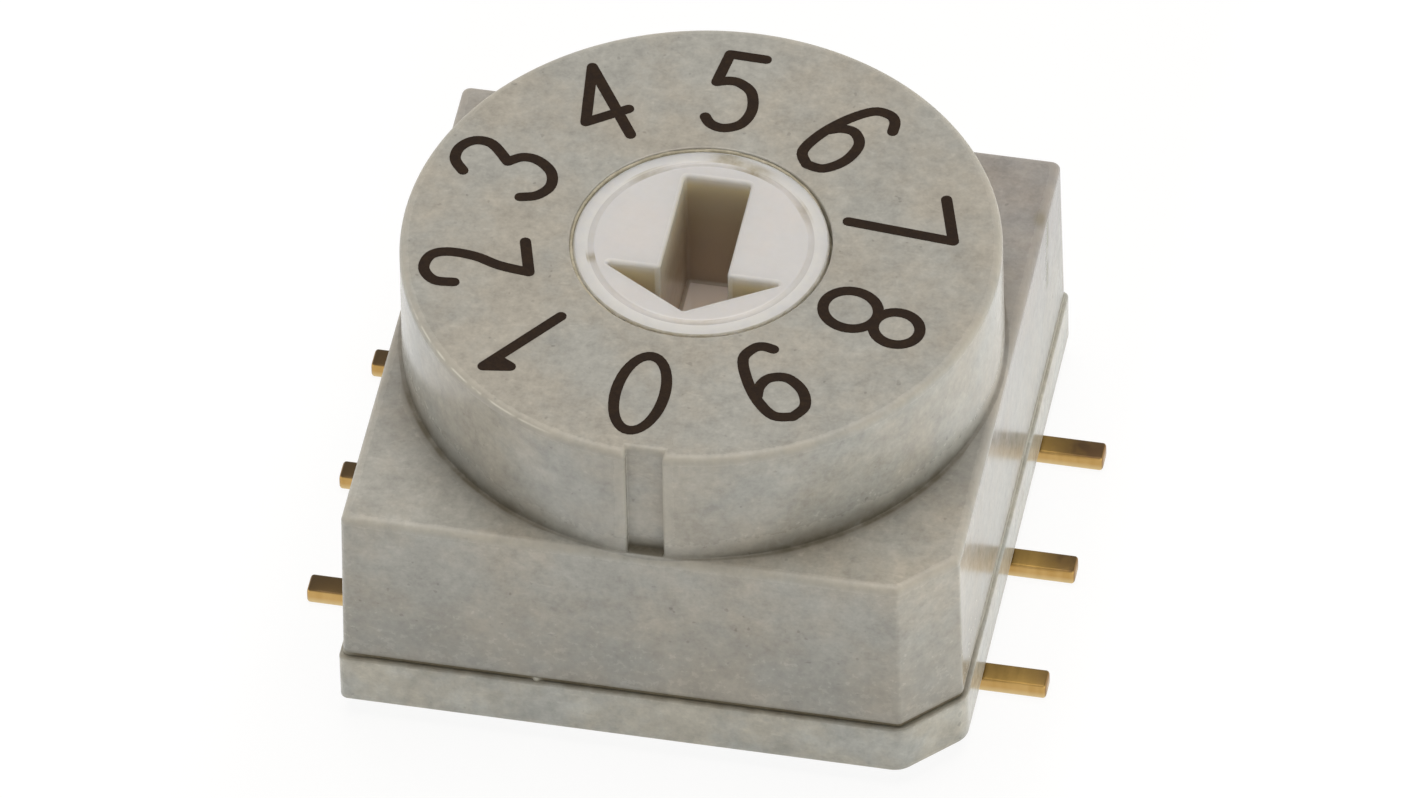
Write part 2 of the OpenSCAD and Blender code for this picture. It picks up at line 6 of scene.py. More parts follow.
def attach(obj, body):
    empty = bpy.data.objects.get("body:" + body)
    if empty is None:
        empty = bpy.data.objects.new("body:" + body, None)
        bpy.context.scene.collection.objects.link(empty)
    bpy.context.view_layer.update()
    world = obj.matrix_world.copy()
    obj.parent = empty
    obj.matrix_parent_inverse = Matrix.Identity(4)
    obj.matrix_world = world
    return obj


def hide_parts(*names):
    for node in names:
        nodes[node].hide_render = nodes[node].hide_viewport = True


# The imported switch: ten positions, about 12 by 10 by 6.6 mm over its terminals. Lengths below are in
# millimetres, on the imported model's axes, and become metres where a mesh, lamp or camera is made.
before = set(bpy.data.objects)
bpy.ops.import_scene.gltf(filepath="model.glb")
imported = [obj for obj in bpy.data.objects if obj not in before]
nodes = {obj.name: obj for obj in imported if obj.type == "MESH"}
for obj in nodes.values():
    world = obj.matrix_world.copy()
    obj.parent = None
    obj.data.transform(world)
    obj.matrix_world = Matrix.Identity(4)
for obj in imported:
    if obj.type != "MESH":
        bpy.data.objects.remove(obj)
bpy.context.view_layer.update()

# Camera: a long lens about 32 cm off, above the dial's 0 and a little to its right, its top leaning
# right by a degree or so.
camera = bpy.data.objects.new("camera", bpy.data.cameras.new("camera"))
bpy.context.collection.objects.link(camera)
camera.data.sensor_width = 36
camera.data.lens = 503.6
camera.data.clip_start = 0.01
camera.data.clip_end = 10
camera.location = Vector((45.808, -214.162, 232.413)) * 0.001
camera.rotation_mode = "QUATERNION"
camera_lean = Quaternion((0, 0, 1), np.radians(-1.4056))
camera.rotation_quaternion = Vector((-0.14418, 0.6753, -0.72332)).to_track_quat("-Z", "Y") @ camera_lean
bpy.context.scene.camera = camera
bpy.context.scene.view_settings.view_transform = "Standard"


# Light: the switch stands on a lit table that is brighter at either side of it, under a broad cloth
# panel, with weak panels all round. The side walls come out lightest, and the dial's foot stays dark.
def put(tree, kind, inputs=None, **settings):
    """Adds a node. Each of its inputs is given a value, or the output that is linked to it."""
    made = tree.nodes.new("ShaderNode" + kind)
    for name, value in settings.items():
        setattr(made, name, value)
    for name, value in (inputs or {}).items():
        if isinstance(value, bpy.types.NodeSocket):
            tree.links.new(value, made.inputs[name])
        else:
            made.inputs[name].default_value = value
    return made


def calc(operation, first, second=0.0, third=0.0):
    """Sum, product or another operation on numbers, in the node tree of the outputs among them."""
    tree = next(value.id_data for value in (first, second, third) if isinstance(value, bpy.types.NodeSocket))
    return put(tree, "Math", {0: first, 1: second, 2: third}, operation=operation).outputs[0]


def seen_plainly(tree):
    """1 where a ray comes from the camera, a mirror-like face or glass, and 0 for the light on the part."""
    path = put(tree, "LightPath").outputs
    mirrored = calc("MAXIMUM", path["Is Camera Ray"], path["Is Glossy Ray"])
    return calc("MAXIMUM", mirrored, path["Is Transmission Ray"])


tent = bpy.data.worlds.new("tent")
bpy.context.scene.world = tent
tent.use_nodes = True
tree = tent.node_tree
tree.nodes.clear()
glow = put(tree, "Background", {"Color": (1, 1, 1, 1), "Strength": 0.03}).outputs[0]
white = put(tree, "Background", {"Color": (1, 1, 1, 1), "Strength": 1.0}).outputs[0]
tent_mix = put(tree, "MixShader", {0: seen_plainly(tree), 1: glow, 2: white})
put(tree, "OutputWorld", {"Surface": tent_mix.outputs[0]})


def cloth_panel(name, place, width, height, glow, tint):
    """Square-on soft lamp that faces the middle of the switch. Glow 1 is as bright as white paper in full
    light."""
    data = bpy.data.lights.new(name, "AREA")
    data.shape = "RECTANGLE"
    data.size, data.size_y = width * 0.001, height * 0.001
    data.energy = glow * np.pi * data.size * data.size_y
    data.color = tint
    panel = bpy.data.objects.new(name, data)
    bpy.context.collection.objects.link(panel)
    panel.location = Vector(place) * 0.001
    panel.rotation_mode = "QUATERNION"
    panel.rotation_quaternion = (Vector((0, 0, 3)) - Vector(place)).to_track_quat("-Z", "Y")
    return panel


cloth_panel("panel_right", (95, -5, 30), 150, 90, 0.57, (1.0, 1.0, 0.9))
cloth_panel("panel_left", (-95, -5, 30), 150, 90, 0.43, (1.0, 1.0, 0.96))
cloth_panel("panel_above", (0, 20, 140), 120, 120, 3.3, (1.05, 1.0, 0.93))
cloth_panel("panel_back", (0, 120, 60), 120, 70, 0.33, (1.0, 1.0, 1.0))
# The panel in front lights the walls there, but leaves no shine of its own on them
cloth_panel("panel_front", (0, -120, 50), 120, 70, 0.12, (0.98, 1.0, 0.93)).visible_glossy = False


# Floor: the table's white top. It glows more from 6 to 16 mm out on either side. It is seen as white,
# with a trace of the shadow that falls on it.
def empty_material(name):
    """Makes a material with nothing in it yet. Gives the material and its node tree."""
    made = bpy.data.materials.new(name)
    made.use_nodes = True
    made.node_tree.nodes.clear()
    return made, made.node_tree


def ramp(value, low, high, start=0.0, end=1.0):
    """Start below low, end above high, and an even slope between them."""
    inputs = {0: value, 1: low, 2: high, 3: start, 4: end}
    return put(value.id_data, "MapRange", inputs, clamp=True).outputs[0]


floor_mesh = bpy.data.meshes.new("floor")
floor_mesh.from_pydata([(-2, -2, 0), (2, -2, 0), (2, 2, 0), (-2, 2, 0)], [], [(0, 1, 2, 3)])
floor = bpy.data.objects.new("floor", floor_mesh)
bpy.context.collection.objects.link(floor)
paper, tree = empty_material("paper")
lit = put(tree, "BsdfDiffuse", {"Color": (0.9, 0.9, 0.9, 1)}).outputs[0]
white = put(tree, "Emission", {"Color": (1, 1, 1, 1), "Strength": 1.0}).outputs[0]
across = put(tree, "SeparateXYZ", {0: put(tree, "TexCoord").outputs["Object"]}).outputs[0]
glow_right = ramp(across, 0.006, 0.016, 0.3, 1.45)
glow_left = ramp(across, -0.006, -0.016, 0.0, 0.67)
glow_strength = calc("ADD", glow_right, glow_left)
glow = put(tree, "Emission", {"Color": (1, 1, 0.98, 1), "Strength": glow_strength}).outputs[0]
table = put(tree, "AddShader", {0: lit, 1: glow}).outputs[0]
share_of_white = calc("MULTIPLY", seen_plainly(tree), 0.86)
paper_mix = put(tree, "MixShader", {0: share_of_white, 1: table, 2: white})
put(tree, "OutputMaterial", {"Surface": paper_mix.outputs[0]})
floor_mesh.materials.append(paper)

# Base: the lower shell, a 10 mm square plate of glass-filled grey thermoplastic with one corner cut,
# moulded round the terminals. A deck and a bearing boss for the rotor stand on it inside the cover.
case_half, cut_size, corner_ease = 5, 0.9, 0.12
base_low, base_high, deck_high, boss_high = 0.34, 1.29, 1.89, 3.26


def corner_arcs(corners, before, after, radii, steps):
    """Arcs that turn corners, as [corner, step, coordinate]. An arc touches the lines from its corner to the
    points before and after it, so its middle lies on the bisector, at the radius over the sine of half the
    angle."""
    back = (before - corners) / np.linalg.norm(before - corners, axis=1, keepdims=True)
    ahead = (after - corners) / np.linalg.norm(after - corners, axis=1, keepdims=True)
    half = np.arccos(np.clip((back * ahead).sum(1), -1, 1)) / 2
    inward = (back + ahead) / np.linalg.norm(back + ahead, axis=1, keepdims=True)
    middle = corners + inward * (radii / np.sin(half))[:, None]
    first = corners + back * (radii / np.tan(half))[:, None] - middle
    last = corners + ahead * (radii / np.tan(half))[:, None] - middle
    start = np.arctan2(first[:, 1], first[:, 0])
    sweep = (np.arctan2(last[:, 1], last[:, 0]) - start + np.pi) % (2 * np.pi) - np.pi
    angle = start[:, None] + sweep[:, None] * np.linspace(0, 1, steps + 1)
    return middle[:, None] + radii[:, None, None] * np.stack([np.cos(angle), np.sin(angle)], -1)


def rounded_outline(corners, radii, steps=8):
    """Closed outline in plan whose every corner is turned by an arc of its own radius."""
    corners = np.asarray(corners, float)
    before, after = np.roll(corners, 1, 0), np.roll(corners, -1, 0)
    return corner_arcs(corners, before, after, np.asarray(radii, float), steps).reshape(-1, 2)


def eased_profile(corners, steps=6, fade=0.02):
    """Open profile through rows of distance out, height and easing radius. Inner corners are turned by arcs.
    One more point lies on the flat beside each end, this far off or at a third of what the arcs leave of the
    flat. Also gives a mask that is 0 at those points and rises as a half sine wave to 1 in the middle of each
    arc."""
    corners = np.asarray(corners, float)
    flat, radii = corners[:, :2], corners[1:-1, 2]
    arcs = corner_arcs(flat[1:-1], flat[:-2], flat[2:], radii, steps)
    length = np.linalg.norm(np.diff(flat, axis=0), axis=1)
    toward = np.diff(flat, axis=0) / length[:, None]
    taken = np.concatenate([[0], np.linalg.norm(arcs[:, 0] - flat[1:-1], axis=1), [0]])
    beside = np.minimum((length - taken[:-1] - taken[1:]) / 3, fade)[:, None] * toward
    runs = np.concatenate([arcs[:, :1] - beside[:-1, None], arcs, arcs[:, -1:] + beside[1:, None]], 1)
    mask = np.broadcast_to(np.sin(np.linspace(0, np.pi, steps + 3)), runs.shape[:2])
    profile = np.concatenate([flat[:1], runs.reshape(-1, 2), flat[-1:]])
    return profile, np.concatenate([[0], mask.ravel(), [0]])


def reach(outline, angles, centre=(0, 0)):
    """Distance from a centre to a closed outline in each direction: the direction's line is cut with the
    side of the outline that lies between the same two angles."""
    points = outline - np.asarray(centre, float)
    turn = np.arctan2(points[:, 1], points[:, 0])
    order = np.argsort(turn)
    points, turn = points[order], turn[order]
    after = np.searchsorted(turn, (angles + np.pi) % (2 * np.pi) - np.pi) % len(points)
    near, side = points[after - 1], points[after] - points[after - 1]
    area = near[:, 0] * side[:, 1] - near[:, 1] * side[:, 0]
    return area / (np.cos(angles) * side[:, 1] - np.sin(angles) * side[:, 0])


def polar_rings(distances, heights, angles):
    """Rings of points about the upright axis: distance [ring, angle] times the angle's cosine and sine, at a
    height."""
    distances = np.broadcast_to(distances, (len(heights), len(angles)))
    heights = np.broadcast_to(np.asarray(heights, float)[:, None], distances.shape)
    return np.stack([distances * np.cos(angles), distances * np.sin(angles), heights], -1)


def ring_surface(name, rings, joined=False, **masks):
    """Closed surface over rings[j, i], point i of ring j. Neighbours make four-sided faces, each ring runs
    round to its own first point, and the last ring is joined to the first one or both ends are closed by
    fans. If the surface's signed volume is negative, every face is turned over. A mask has one value for
    each ring or each point."""
    count, columns = rings.shape[:2]
    points = rings.reshape(-1, 3)
    near = np.arange(columns)
    far = (near + 1) % columns
    lower = np.arange(count if joined else count - 1)[:, None] * columns
    upper = (lower + columns) % (count * columns)
    corners = np.stack([lower + near, lower + far, upper + far, upper + near], -1).reshape(-1)
    sizes = np.full(len(corners) // 4, 4)
    if not joined:
        ends = np.stack([rings[0].mean(0), rings[-1].mean(0)])
        last_ring = (count - 1) * columns
        fans = np.stack([
            np.stack([far, near, np.full(columns, len(points))], -1),
            np.stack([near + last_ring, far + last_ring, np.full(columns, len(points) + 1)], -1),
        ]).reshape(-1)
        corners, sizes = np.concatenate([corners, fans]), np.concatenate([sizes, np.full(2 * columns, 3)])
        points = np.concatenate([points, ends])
    starts = np.concatenate([[0], np.cumsum(sizes)[:-1]])
    first, second, third = (points[corners[starts + k]] for k in range(3))
    last = points[corners[starts + sizes - 1]]
    volume = (first * (np.cross(second, third) + np.cross(third, last))).sum()
    if volume < 0:
        turned = starts[:, None] + (sizes[:, None] - 1 - np.arange(4))
        corners = corners[turned[np.arange(4) < sizes[:, None]]]
    mesh = bpy.data.meshes.new(name)
    mesh.vertices.add(len(points))
    mesh.vertices.foreach_set("co", (points * 0.001).astype(np.float32).ravel())
    mesh.loops.add(len(corners))
    mesh.loops.foreach_set("vertex_index", corners.astype(np.int32))
    mesh.polygons.add(len(sizes))
    mesh.polygons.foreach_set("loop_start", starts.astype(np.int32))
    mesh.update(calc_edges=True)
    mesh.shade_smooth()
    for label, mask in masks.items():
        mask = np.asarray(mask, float)
        spread = mask[:, None] if mask.ndim == 1 else mask
        values = np.zeros(len(points), np.float32)
        values[:count * columns] = np.broadcast_to(spread, (count, columns)).ravel()
        mesh.attributes.new(label, "FLOAT", "POINT").data.foreach_set("value", values)
    made = bpy.data.objects.new(name, mesh)
    bpy.context.collection.objects.link(made)
    return made


def case_outline(half, cut_edge):
    """Plan of the case, a square of this half width with its front right corner cut and every corner eased,
    the two at the cut by their own radius. The cut keeps its distance from the edge as the square grows or
    shrinks."""
    cut = cut_size - (case_half - half) * (2 - np.sqrt(2))
    corners = [(-half, -half), (half - cut, -half), (half, cut - half), (half, half), (-half, half)]
    return rounded_outline(corners, [corner_ease, cut_edge, cut_edge, corner_ease, corner_ease])


def inner_outline(half, radius):
    """Plan of the cavity in the cover, or of the deck that stands in it: a square with round corners."""
    return rounded_outline([(-half, -half), (half, -half), (half, half), (-half, half)], [radius] * 4)


def plan_rings(profile, angles, outline, *details, centre=(0, 0)):
    """Rings that follow an outline in plan, in directions from a centre. The profile's first column is the
    outline's half width, or how far it is grown."""
    far = np.stack([reach(outline(size, *details), angles, centre) for size in profile[:, 0]])
    return polar_rings(far, profile[:, 1], angles) + [*centre, 0]


def seam_dirt(rings):
    """How dark the seam's edges are painted at each point, for dirt and painted shade: fully in front and on
    the left, and less and less along the right wall from its front end."""
    fade = np.clip((-1.5 - rings[..., 1]) / 2.5, 0, 1)
    return np.where(rings[..., 0] > 4.6, 0.15 + 0.85 * fade, 1)


# Directions from the middle: one to the degree, and closer together at the corners of the case
case_angles = np.radians(np.unique(np.round(np.concatenate([
    np.linspace(-180, 179, 360),
    np.concatenate([corner + np.linspace(-1.2, 1.2, 25) for corner in (-135, 45, 135)]),
    np.concatenate([corner + np.linspace(-1.6, 1.6, 33) for corner in (-50.55, -39.45)]),
]), 2)))
base_wall, base_wall_worn = eased_profile([
    (4.6, base_low, 0), (case_half, base_low, 0.05), (case_half, base_high, 0.04), (4.5, base_high, 0),
], fade=0.08)
base_wall_rings = plan_rings(base_wall, case_angles, case_outline, 0.4)
# The base's top edge at the seam is darkened: dirt and painted shade
base_seam = 0.6 * np.clip((base_wall[:, 1:] - 1.24) / 0.05, 0, 1) * seam_dirt(base_wall_rings)
base_deck, _ = eased_profile([
    (4.25, base_high, 0), (4.11, base_high, 0.03), (4.11, deck_high, 0.05), (3.9, deck_high, 0),
])
base_boss, _ = eased_profile([
    (1.5, deck_high, 0), (1.1, deck_high, 0.08), (1.1, boss_high, 0.06), (0.73, boss_high, 0.05),
    (0.73, 2.03, 0.05), (0.5, 2.03, 0),
])
inner_count = len(base_deck) + len(base_boss)
base_shell = ring_surface(
    "base_shell",
    np.concatenate([
        base_wall_rings,
        plan_rings(base_deck, case_angles, inner_outline, 0.77),
        polar_rings(base_boss[:, :1], base_boss[:, 1], case_angles),
    ]),
    worn=np.concatenate([base_wall_worn * (base_wall[:, 1] < 1), np.zeros(inner_count)]),
    grime=np.concatenate([base_seam, np.zeros((inner_count, len(case_angles)))]),
)
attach(base_shell, "case")
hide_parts("base")


def new_group(name, takes, gives):
    """Empty shader group with these inputs, each with its name, kind and usual value, and these outputs."""
    tree = bpy.data.node_groups.new(name, "ShaderNodeTree")
    for label, kind, value in takes:
        socket = tree.interface.new_socket(label, in_out="INPUT", socket_type="NodeSocket" + kind)
        socket.default_value = value
    for label, kind in gives:
        tree.interface.new_socket(label, in_out="OUTPUT", socket_type="NodeSocket" + kind)
    return tree, tree.nodes.new("NodeGroupInput").outputs, tree.nodes.new("NodeGroupOutput")


def place_group(tree, group, inputs):
    """Places a shader group in a material with its own values."""
    return put(tree, "Group", inputs, node_tree=group).outputs


def calc_places(operation, first, second):
    """Sum, product or another operation on two places or colours."""
    return put(first.id_data, "VectorMath", {0: first, 1: second}, operation=operation).outputs[0]


def scaled(place, factor):
    """Place or colour times a number."""
    return put(place.id_data, "VectorMath", {0: place, "Scale": factor}, operation="SCALE").outputs[0]


def in_millimetres(tree):
    """Place on the piece itself, in millimetres."""
    return scaled(put(tree, "TexCoord").outputs["Object"], 1000.0)


def stretched(place, scale, turn=(0, 0, 0)):
    """Place stretched along the three axes and then turned, for a pattern with a grain."""
    return put(place.id_data, "Mapping", {"Vector": place, "Rotation": turn, "Scale": scale}).outputs[0]


def noise(place, scale, detail=2.0, rough=0.5):
    """Soft noise between 0 and 1, with this many bumps to the millimetre."""
    inputs = {"Vector": place, "Scale": scale, "Detail": detail, "Roughness": rough}
    return put(place.id_data, "TexNoise", inputs).outputs["Fac"]


def mask(tree, name):
    """Mask that the piece's mesh carries under this name."""
    return put(tree, "Attribute", attribute_name=name).outputs["Fac"]


def vary(light, pattern, amount):
    """Lightness plus an amount times how far a pattern lies above its middle, 0.5."""
    return calc("MULTIPLY_ADD", calc("SUBTRACT", pattern, 0.5), amount, light)


def blend(share, first, second):
    """First number at share 0, second number at share 1."""
    return calc("ADD", first, calc("MULTIPLY", share, calc("SUBTRACT", second, first)))


def blend_colour(share, first, second):
    """First colour at share 0, second colour at share 1."""
    return put(share.id_data, "Mix", {0: share, 6: first, 7: second}, data_type="RGBA").outputs[2]


# Moulded grain: soft warm and cool patches about a millimetre wide, as the filler drifts in the mould,
# paler clouds in them, fine specks, and short pale glass fibres that lie every way just under the skin.
moulded_grain, takes, gives = new_group(
    "moulded_grain",
    [
        ("Body", "Color", (0.4, 0.4, 0.37, 1)), ("Warm", "Color", (0.42, 0.38, 0.34, 1)),
        ("Cool", "Color", (0.37, 0.39, 0.38, 1)), ("Patch", "Float", 0.7), ("Drift", "Float", 0.6),
        ("Cloud", "Float", 0.3), ("Speck", "Float", 0.2), ("Fibre", "Float", 0.08),
    ],
    [("Color", "Color"), ("Roughness", "Float"), ("Height", "Float")],
)
tree = moulded_grain
spot = in_millimetres(tree)
drift = noise(spot, takes["Patch"], 5.0, 0.62)
shifted = calc_places("ADD", spot, (7.3, 2.9, 5.1))
cloud = noise(shifted, calc("MULTIPLY", takes["Patch"], 2.3), 3.0, 0.6)
mottle = noise(spot, 3.3, 3.0, 0.6)
speck = noise(shifted, 7.0, 2.0, 0.65)
fine = noise(spot, 21.0, 2.0, 0.6)
tone = blend_colour(ramp(drift, 0.4, 0.6), takes["Cool"], takes["Warm"])
tone = blend_colour(takes["Drift"], takes["Body"], tone)
pit = ramp(noise(spot, 7.0, 1.0), 0.735, 0.79)
bend = put(tree, "TexNoise", {"Vector": spot, "Scale": 1.6}).outputs["Color"]
bent_spot = calc_places("ADD", spot, scaled(bend, 0.7))
fibres = [
    ramp(noise(stretched(bent_spot, (2.0, 14.0, 14.0), lie), 1.0, 0.0), 0.7, 0.84)
    for lie in ((0.3, 0.5, 0.7), (0.9, -0.6, -0.8))
]
light = vary(1.0, cloud, takes["Cloud"])
light = vary(light, mottle, takes["Cloud"])
light = vary(light, speck, takes["Speck"])
light = vary(light, fine, calc("MULTIPLY", takes["Speck"], 0.5))
light = calc("MULTIPLY_ADD", calc("ADD", *fibres), takes["Fibre"], light)
light = calc("MULTIPLY_ADD", pit, calc("MULTIPLY", takes["Speck"], -0.5), light)
relief = calc("MULTIPLY_ADD", speck, 0.6, calc("MULTIPLY", fine, 0.4))
tree.links.new(scaled(tone, light), gives.inputs["Color"])
tree.links.new(ramp(speck, 0.3, 0.7, 0.18, 0.25), gives.inputs["Roughness"])
tree.links.new(relief, gives.inputs["Height"])

# Worn edge and painted highlight: handling has paled and dulled the eased edges, more in some places than
# in others, and the pale colour also stands for the soft band of light along them, a painted highlight.
# The mask on the mesh says where the edges are.
surface_below = [("Color", "Color", (0.4, 0.4, 0.37, 1)), ("Roughness", "Float", 0.2)]
surface_look = [("Color", "Color"), ("Roughness", "Float")]
edge_takes = [("Pale", "Color", (0.6, 0.57, 0.5, 1)), ("Amount", "Float", 0.5)]
worn_edge, takes, gives = new_group("worn_edge", surface_below + edge_takes, surface_look)
tree = worn_edge
uneven = ramp(noise(in_millimetres(tree), 2.2, 3.0, 0.6), 0.32, 0.62, 0.35, 1.0)
on_edge = mask(tree, "worn")
rubbed = calc("MULTIPLY", calc("MULTIPLY", on_edge, uneven), takes["Amount"])
tree.links.new(blend_colour(rubbed, takes["Color"], takes["Pale"]), gives.inputs["Color"])
tree.links.new(blend(on_edge, takes["Roughness"], 0.55), gives.inputs["Roughness"])

# Packed dirt and painted shade: dull brown dirt that stays in corners and seams, and painted shade in
# the same corners and seams. The mask on the mesh says where.
grime_takes = [("Dirt", "Color", (0.09, 0.07, 0.045, 1))]
packed_grime, takes, gives = new_group("packed_grime", surface_below + grime_takes, surface_look)
tree = packed_grime
patchy = ramp(noise(in_millimetres(tree), 3.0, 3.0, 0.6), 0.3, 0.6, 0.6, 1.0)
stuck = calc("MULTIPLY", mask(tree, "grime"), patchy)
tree.links.new(blend_colour(stuck, takes["Color"], takes["Dirt"]), gives.inputs["Color"])
tree.links.new(blend(stuck, takes["Roughness"], 0.8), gives.inputs["Roughness"])


def weathered(tree, grain, pale, rubbed, dirt):
    """Moulded plastic with edges paled by wear and painted highlight, and corners darkened by dirt and
    painted shade: colour, roughness, relief.
    """
    grain = place_group(tree, moulded_grain, grain)
    edge = place_group(tree, worn_edge, {
        "Color": grain["Color"], "Roughness": grain["Roughness"], "Pale": pale, "Amount": rubbed,
    })
    soiled = place_group(tree, packed_grime, {
        "Color": edge["Color"], "Roughness": edge["Roughness"], "Dirt": dirt,
    })
    return soiled["Color"], soiled["Roughness"], grain["Height"]


def finish_surface(material, colour, roughness, height, bump, **sockets):
    """Finishes the material of one coating or plastic. Colour, roughness and height are given as outputs,
    the rest as plain numbers. bump is the height of the relief in millimetres."""
    tree = material.node_tree
    relief = put(tree, "Bump", {"Strength": 1.0, "Distance": bump * 0.001, "Height": height}).outputs[0]
    inputs = {"Base Color": colour, "Roughness": roughness, "Normal": relief, "Specular IOR Level": 0.5}
    inputs.update({label.replace("_", " "): value for label, value in sockets.items()})
    put(tree, "OutputMaterial", {"Surface": put(tree, "BsdfPrincipled", inputs).outputs[0]})


def finish_patterned(material, colour, pattern, smooth, dull, bump, **sockets):
    """Finishes a material whose relief and roughness, between smooth and dull, follow one pattern."""
    finish_surface(material, colour, ramp(pattern, 0.3, 0.7, smooth, dull), pattern, bump, **sockets)


grey_base, tree = empty_material("grey_base")
plastic = weathered(tree, {
    "Body": (0.54, 0.53, 0.475, 1), "Warm": (0.56, 0.525, 0.44, 1), "Cool": (0.515, 0.53, 0.51, 1),
    "Patch": 0.75, "Drift": 0.6, "Cloud": 0.5, "Speck": 0.42, "Fibre": 0.08,
}, (0.56, 0.53, 0.46, 1), 0.5, (0.16, 0.13, 0.085, 1))
finish_surface(grey_base, *plastic, 0.0007)
base_shell.data.materials.append(grey_base)

# Terminals: six flat strips blanked from brass sheet and gold plated, bent twice and moulded into the
# base, three a side. The foot lies on the board, the leg goes up through the base, the pad ends on the deck.
terminal_pitch = 2.54
strip_thick, strip_wide, strip_ease, bend_radius = 0.28, 0.4, 0.05, 0.24
leg_x, foot_end, pad_z, pad_end = 3.67, 6.02, 2.03, 0.72
foot_z = strip_thick / 2


def bent_strip(route, widths, thick, ease):
    """Rings of a closed strip over a route in the XZ plane. A rounded oblong, its thickness along the
    route's normal and its width along Y, is carried from point to point. Near both ends it shrinks by the
    ease less a quarter circle."""
    step = np.gradient(route, axis=0)
    step /= np.linalg.norm(step, axis=1, keepdims=True)
    normal = np.stack([-step[:, 1], step[:, 0]], -1)
    turn = np.linspace(0, np.pi / 2, 4)
    fall = ease * (1 - np.sin(turn))
    along = ease * (1 - np.cos(turn))
    first = route[:1] + along[:, None] * step[:1]
    last = route[-1:] - along[::-1, None] * step[-1:]
    stations = np.concatenate([first, route[1:-1], last])
    normal = np.concatenate([np.repeat(normal[:1], 4, 0), normal[1:-1], np.repeat(normal[-1:], 4, 0)])
    across = np.concatenate([np.repeat(widths[:1], 4), widths[1:-1], np.repeat(widths[-1:], 4)])
    shrink = np.concatenate([fall, np.zeros(len(route) - 2), fall[::-1]])
    quarter = np.arange(4)[:, None]
    angle = (quarter + np.linspace(0, 1, 7)) * np.pi / 2
    side_sign = np.where((quarter == 0) | (quarter == 3), 1, -1)
    top_sign = np.where(quarter < 2, 1, -1)
    wide = side_sign * (across / 2 - shrink - ease)[:, None, None] + ease * np.cos(angle)
    high = top_sign * (thick / 2 - shrink - ease)[:, None, None] + ease * np.sin(angle)
    wide, high = wide.reshape(len(wide), -1), high.reshape(len(high), -1)
    middle_x, middle_z = stations[:, :1], stations[:, 1:]
    return np.stack([middle_x + normal[:, :1] * high, wide, middle_z + normal[:, 1:] * high], -1)


foot_route = np.array([(foot_end, foot_z), (leg_x, foot_z), (leg_x, pad_z), (leg_x - pad_end, pad_z)])
foot_bends = corner_arcs(foot_route[1:-1], foot_route[:-2], foot_route[2:], np.full(2, bend_radius), 10)
foot_bends = foot_bends.reshape(-1, 2)
foot_route = np.concatenate([
    np.linspace((foot_end, foot_z), (leg_x + 0.28, foot_z), 8), foot_bends[:11],
    [(leg_x, 0.8), (leg_x, 1.4)], foot_bends[11:],
    [(leg_x - 0.245, pad_z), (leg_x - 0.25, pad_z), (leg_x - pad_end, pad_z)],
])
foot_widths = np.where(np.arange(len(foot_route)) < len(foot_route) - 2, strip_wide, 0.8)
worn_gold, tree = empty_material("worn_gold")
spot = in_millimetres(tree)
place = put(tree, "SeparateXYZ", {0: spot}).outputs
bands = noise(stretched(spot, (5.0, 0.8, 0.8)), 1.0)
banded = ramp(bands, 0.35, 0.65)
cloud = noise(spot, 3.0)
gold = blend_colour(banded, (0.50, 0.305, 0.097, 1), (0.575, 0.37, 0.135, 1))
# Painted reflection: the sides are painted paler toward the bottom
gold = blend_colour(ramp(place[2], 0.15, 0.03, 0.0, 0.9), gold, (0.71, 0.55, 0.29, 1))
# The tops of the feet are painted dark, a painted reflection, darker still toward their ends and on the
# left-hand feet
dull = blend_colour(banded, (0.19, 0.12, 0.035, 1), (0.26, 0.165, 0.05, 1))
far_out = calc("MULTIPLY_ADD", place[1], 0.12, calc("ABSOLUTE", place[0]))
toward_end = ramp(calc("MULTIPLY_ADD", bands, 0.5, far_out), 5.6, 6.1, 0.0, 0.97)
toward_end = calc("MULTIPLY", toward_end, ramp(cloud, 0.4, 0.6, 0.75, 1.0))
dull = blend_colour(toward_end, dull, (0.06, 0.035, 0.017, 1))
dull = blend_colour(ramp(place[0], 1.0, -1.0, 0.0, 0.95), dull, (0.055, 0.035, 0.016, 1))
gold = blend_colour(mask(tree, "tarnish"), gold, dull)
gold = blend_colour(calc("MULTIPLY", mask(tree, "cut"), 0.6), gold, (0.16, 0.075, 0.04, 1))
finish_patterned(worn_gold, gold, cloud, 0.3, 0.42, 0.001, Metallic=0.95)
strip_rings = bent_strip(foot_route, foot_widths, strip_thick, strip_ease)
strip_x, strip_z = strip_rings[..., 0], strip_rings[..., 2]
foot_top = np.where((strip_x > 4) & (strip_z < 0.3), np.clip((strip_z - 0.262) / 0.012, 0, 1), 0)
end_face = np.arange(len(strip_rings)) < 2
for line, side, row in (
    ("terminal_1", -1, -1), ("terminal_common_left", -1, 0), ("terminal_4", -1, 1),
    ("terminal_2", 1, -1), ("terminal_common_right", 1, 0), ("terminal_8", 1, 1),
):
    foot_rings = strip_rings * [side, 1, 1] + [0, row * terminal_pitch, 0]
    foot = ring_surface("plated_" + line, foot_rings, tarnish=foot_top, cut=end_face)
    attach(foot, "case")
    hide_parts(line)
    foot.data.materials.append(worn_gold)


# Contact springs and code disc: thin gold-plated sheet. Each spring is welded to a terminal's pad and
# its round tip runs on a track of the disc, which is moulded into the rotor's underside.
def coat(material, *names):
    """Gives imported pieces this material, in place of the one that they came with."""
    for name in names:
        nodes[name].data.materials.clear()
        nodes[name].data.materials.append(material)


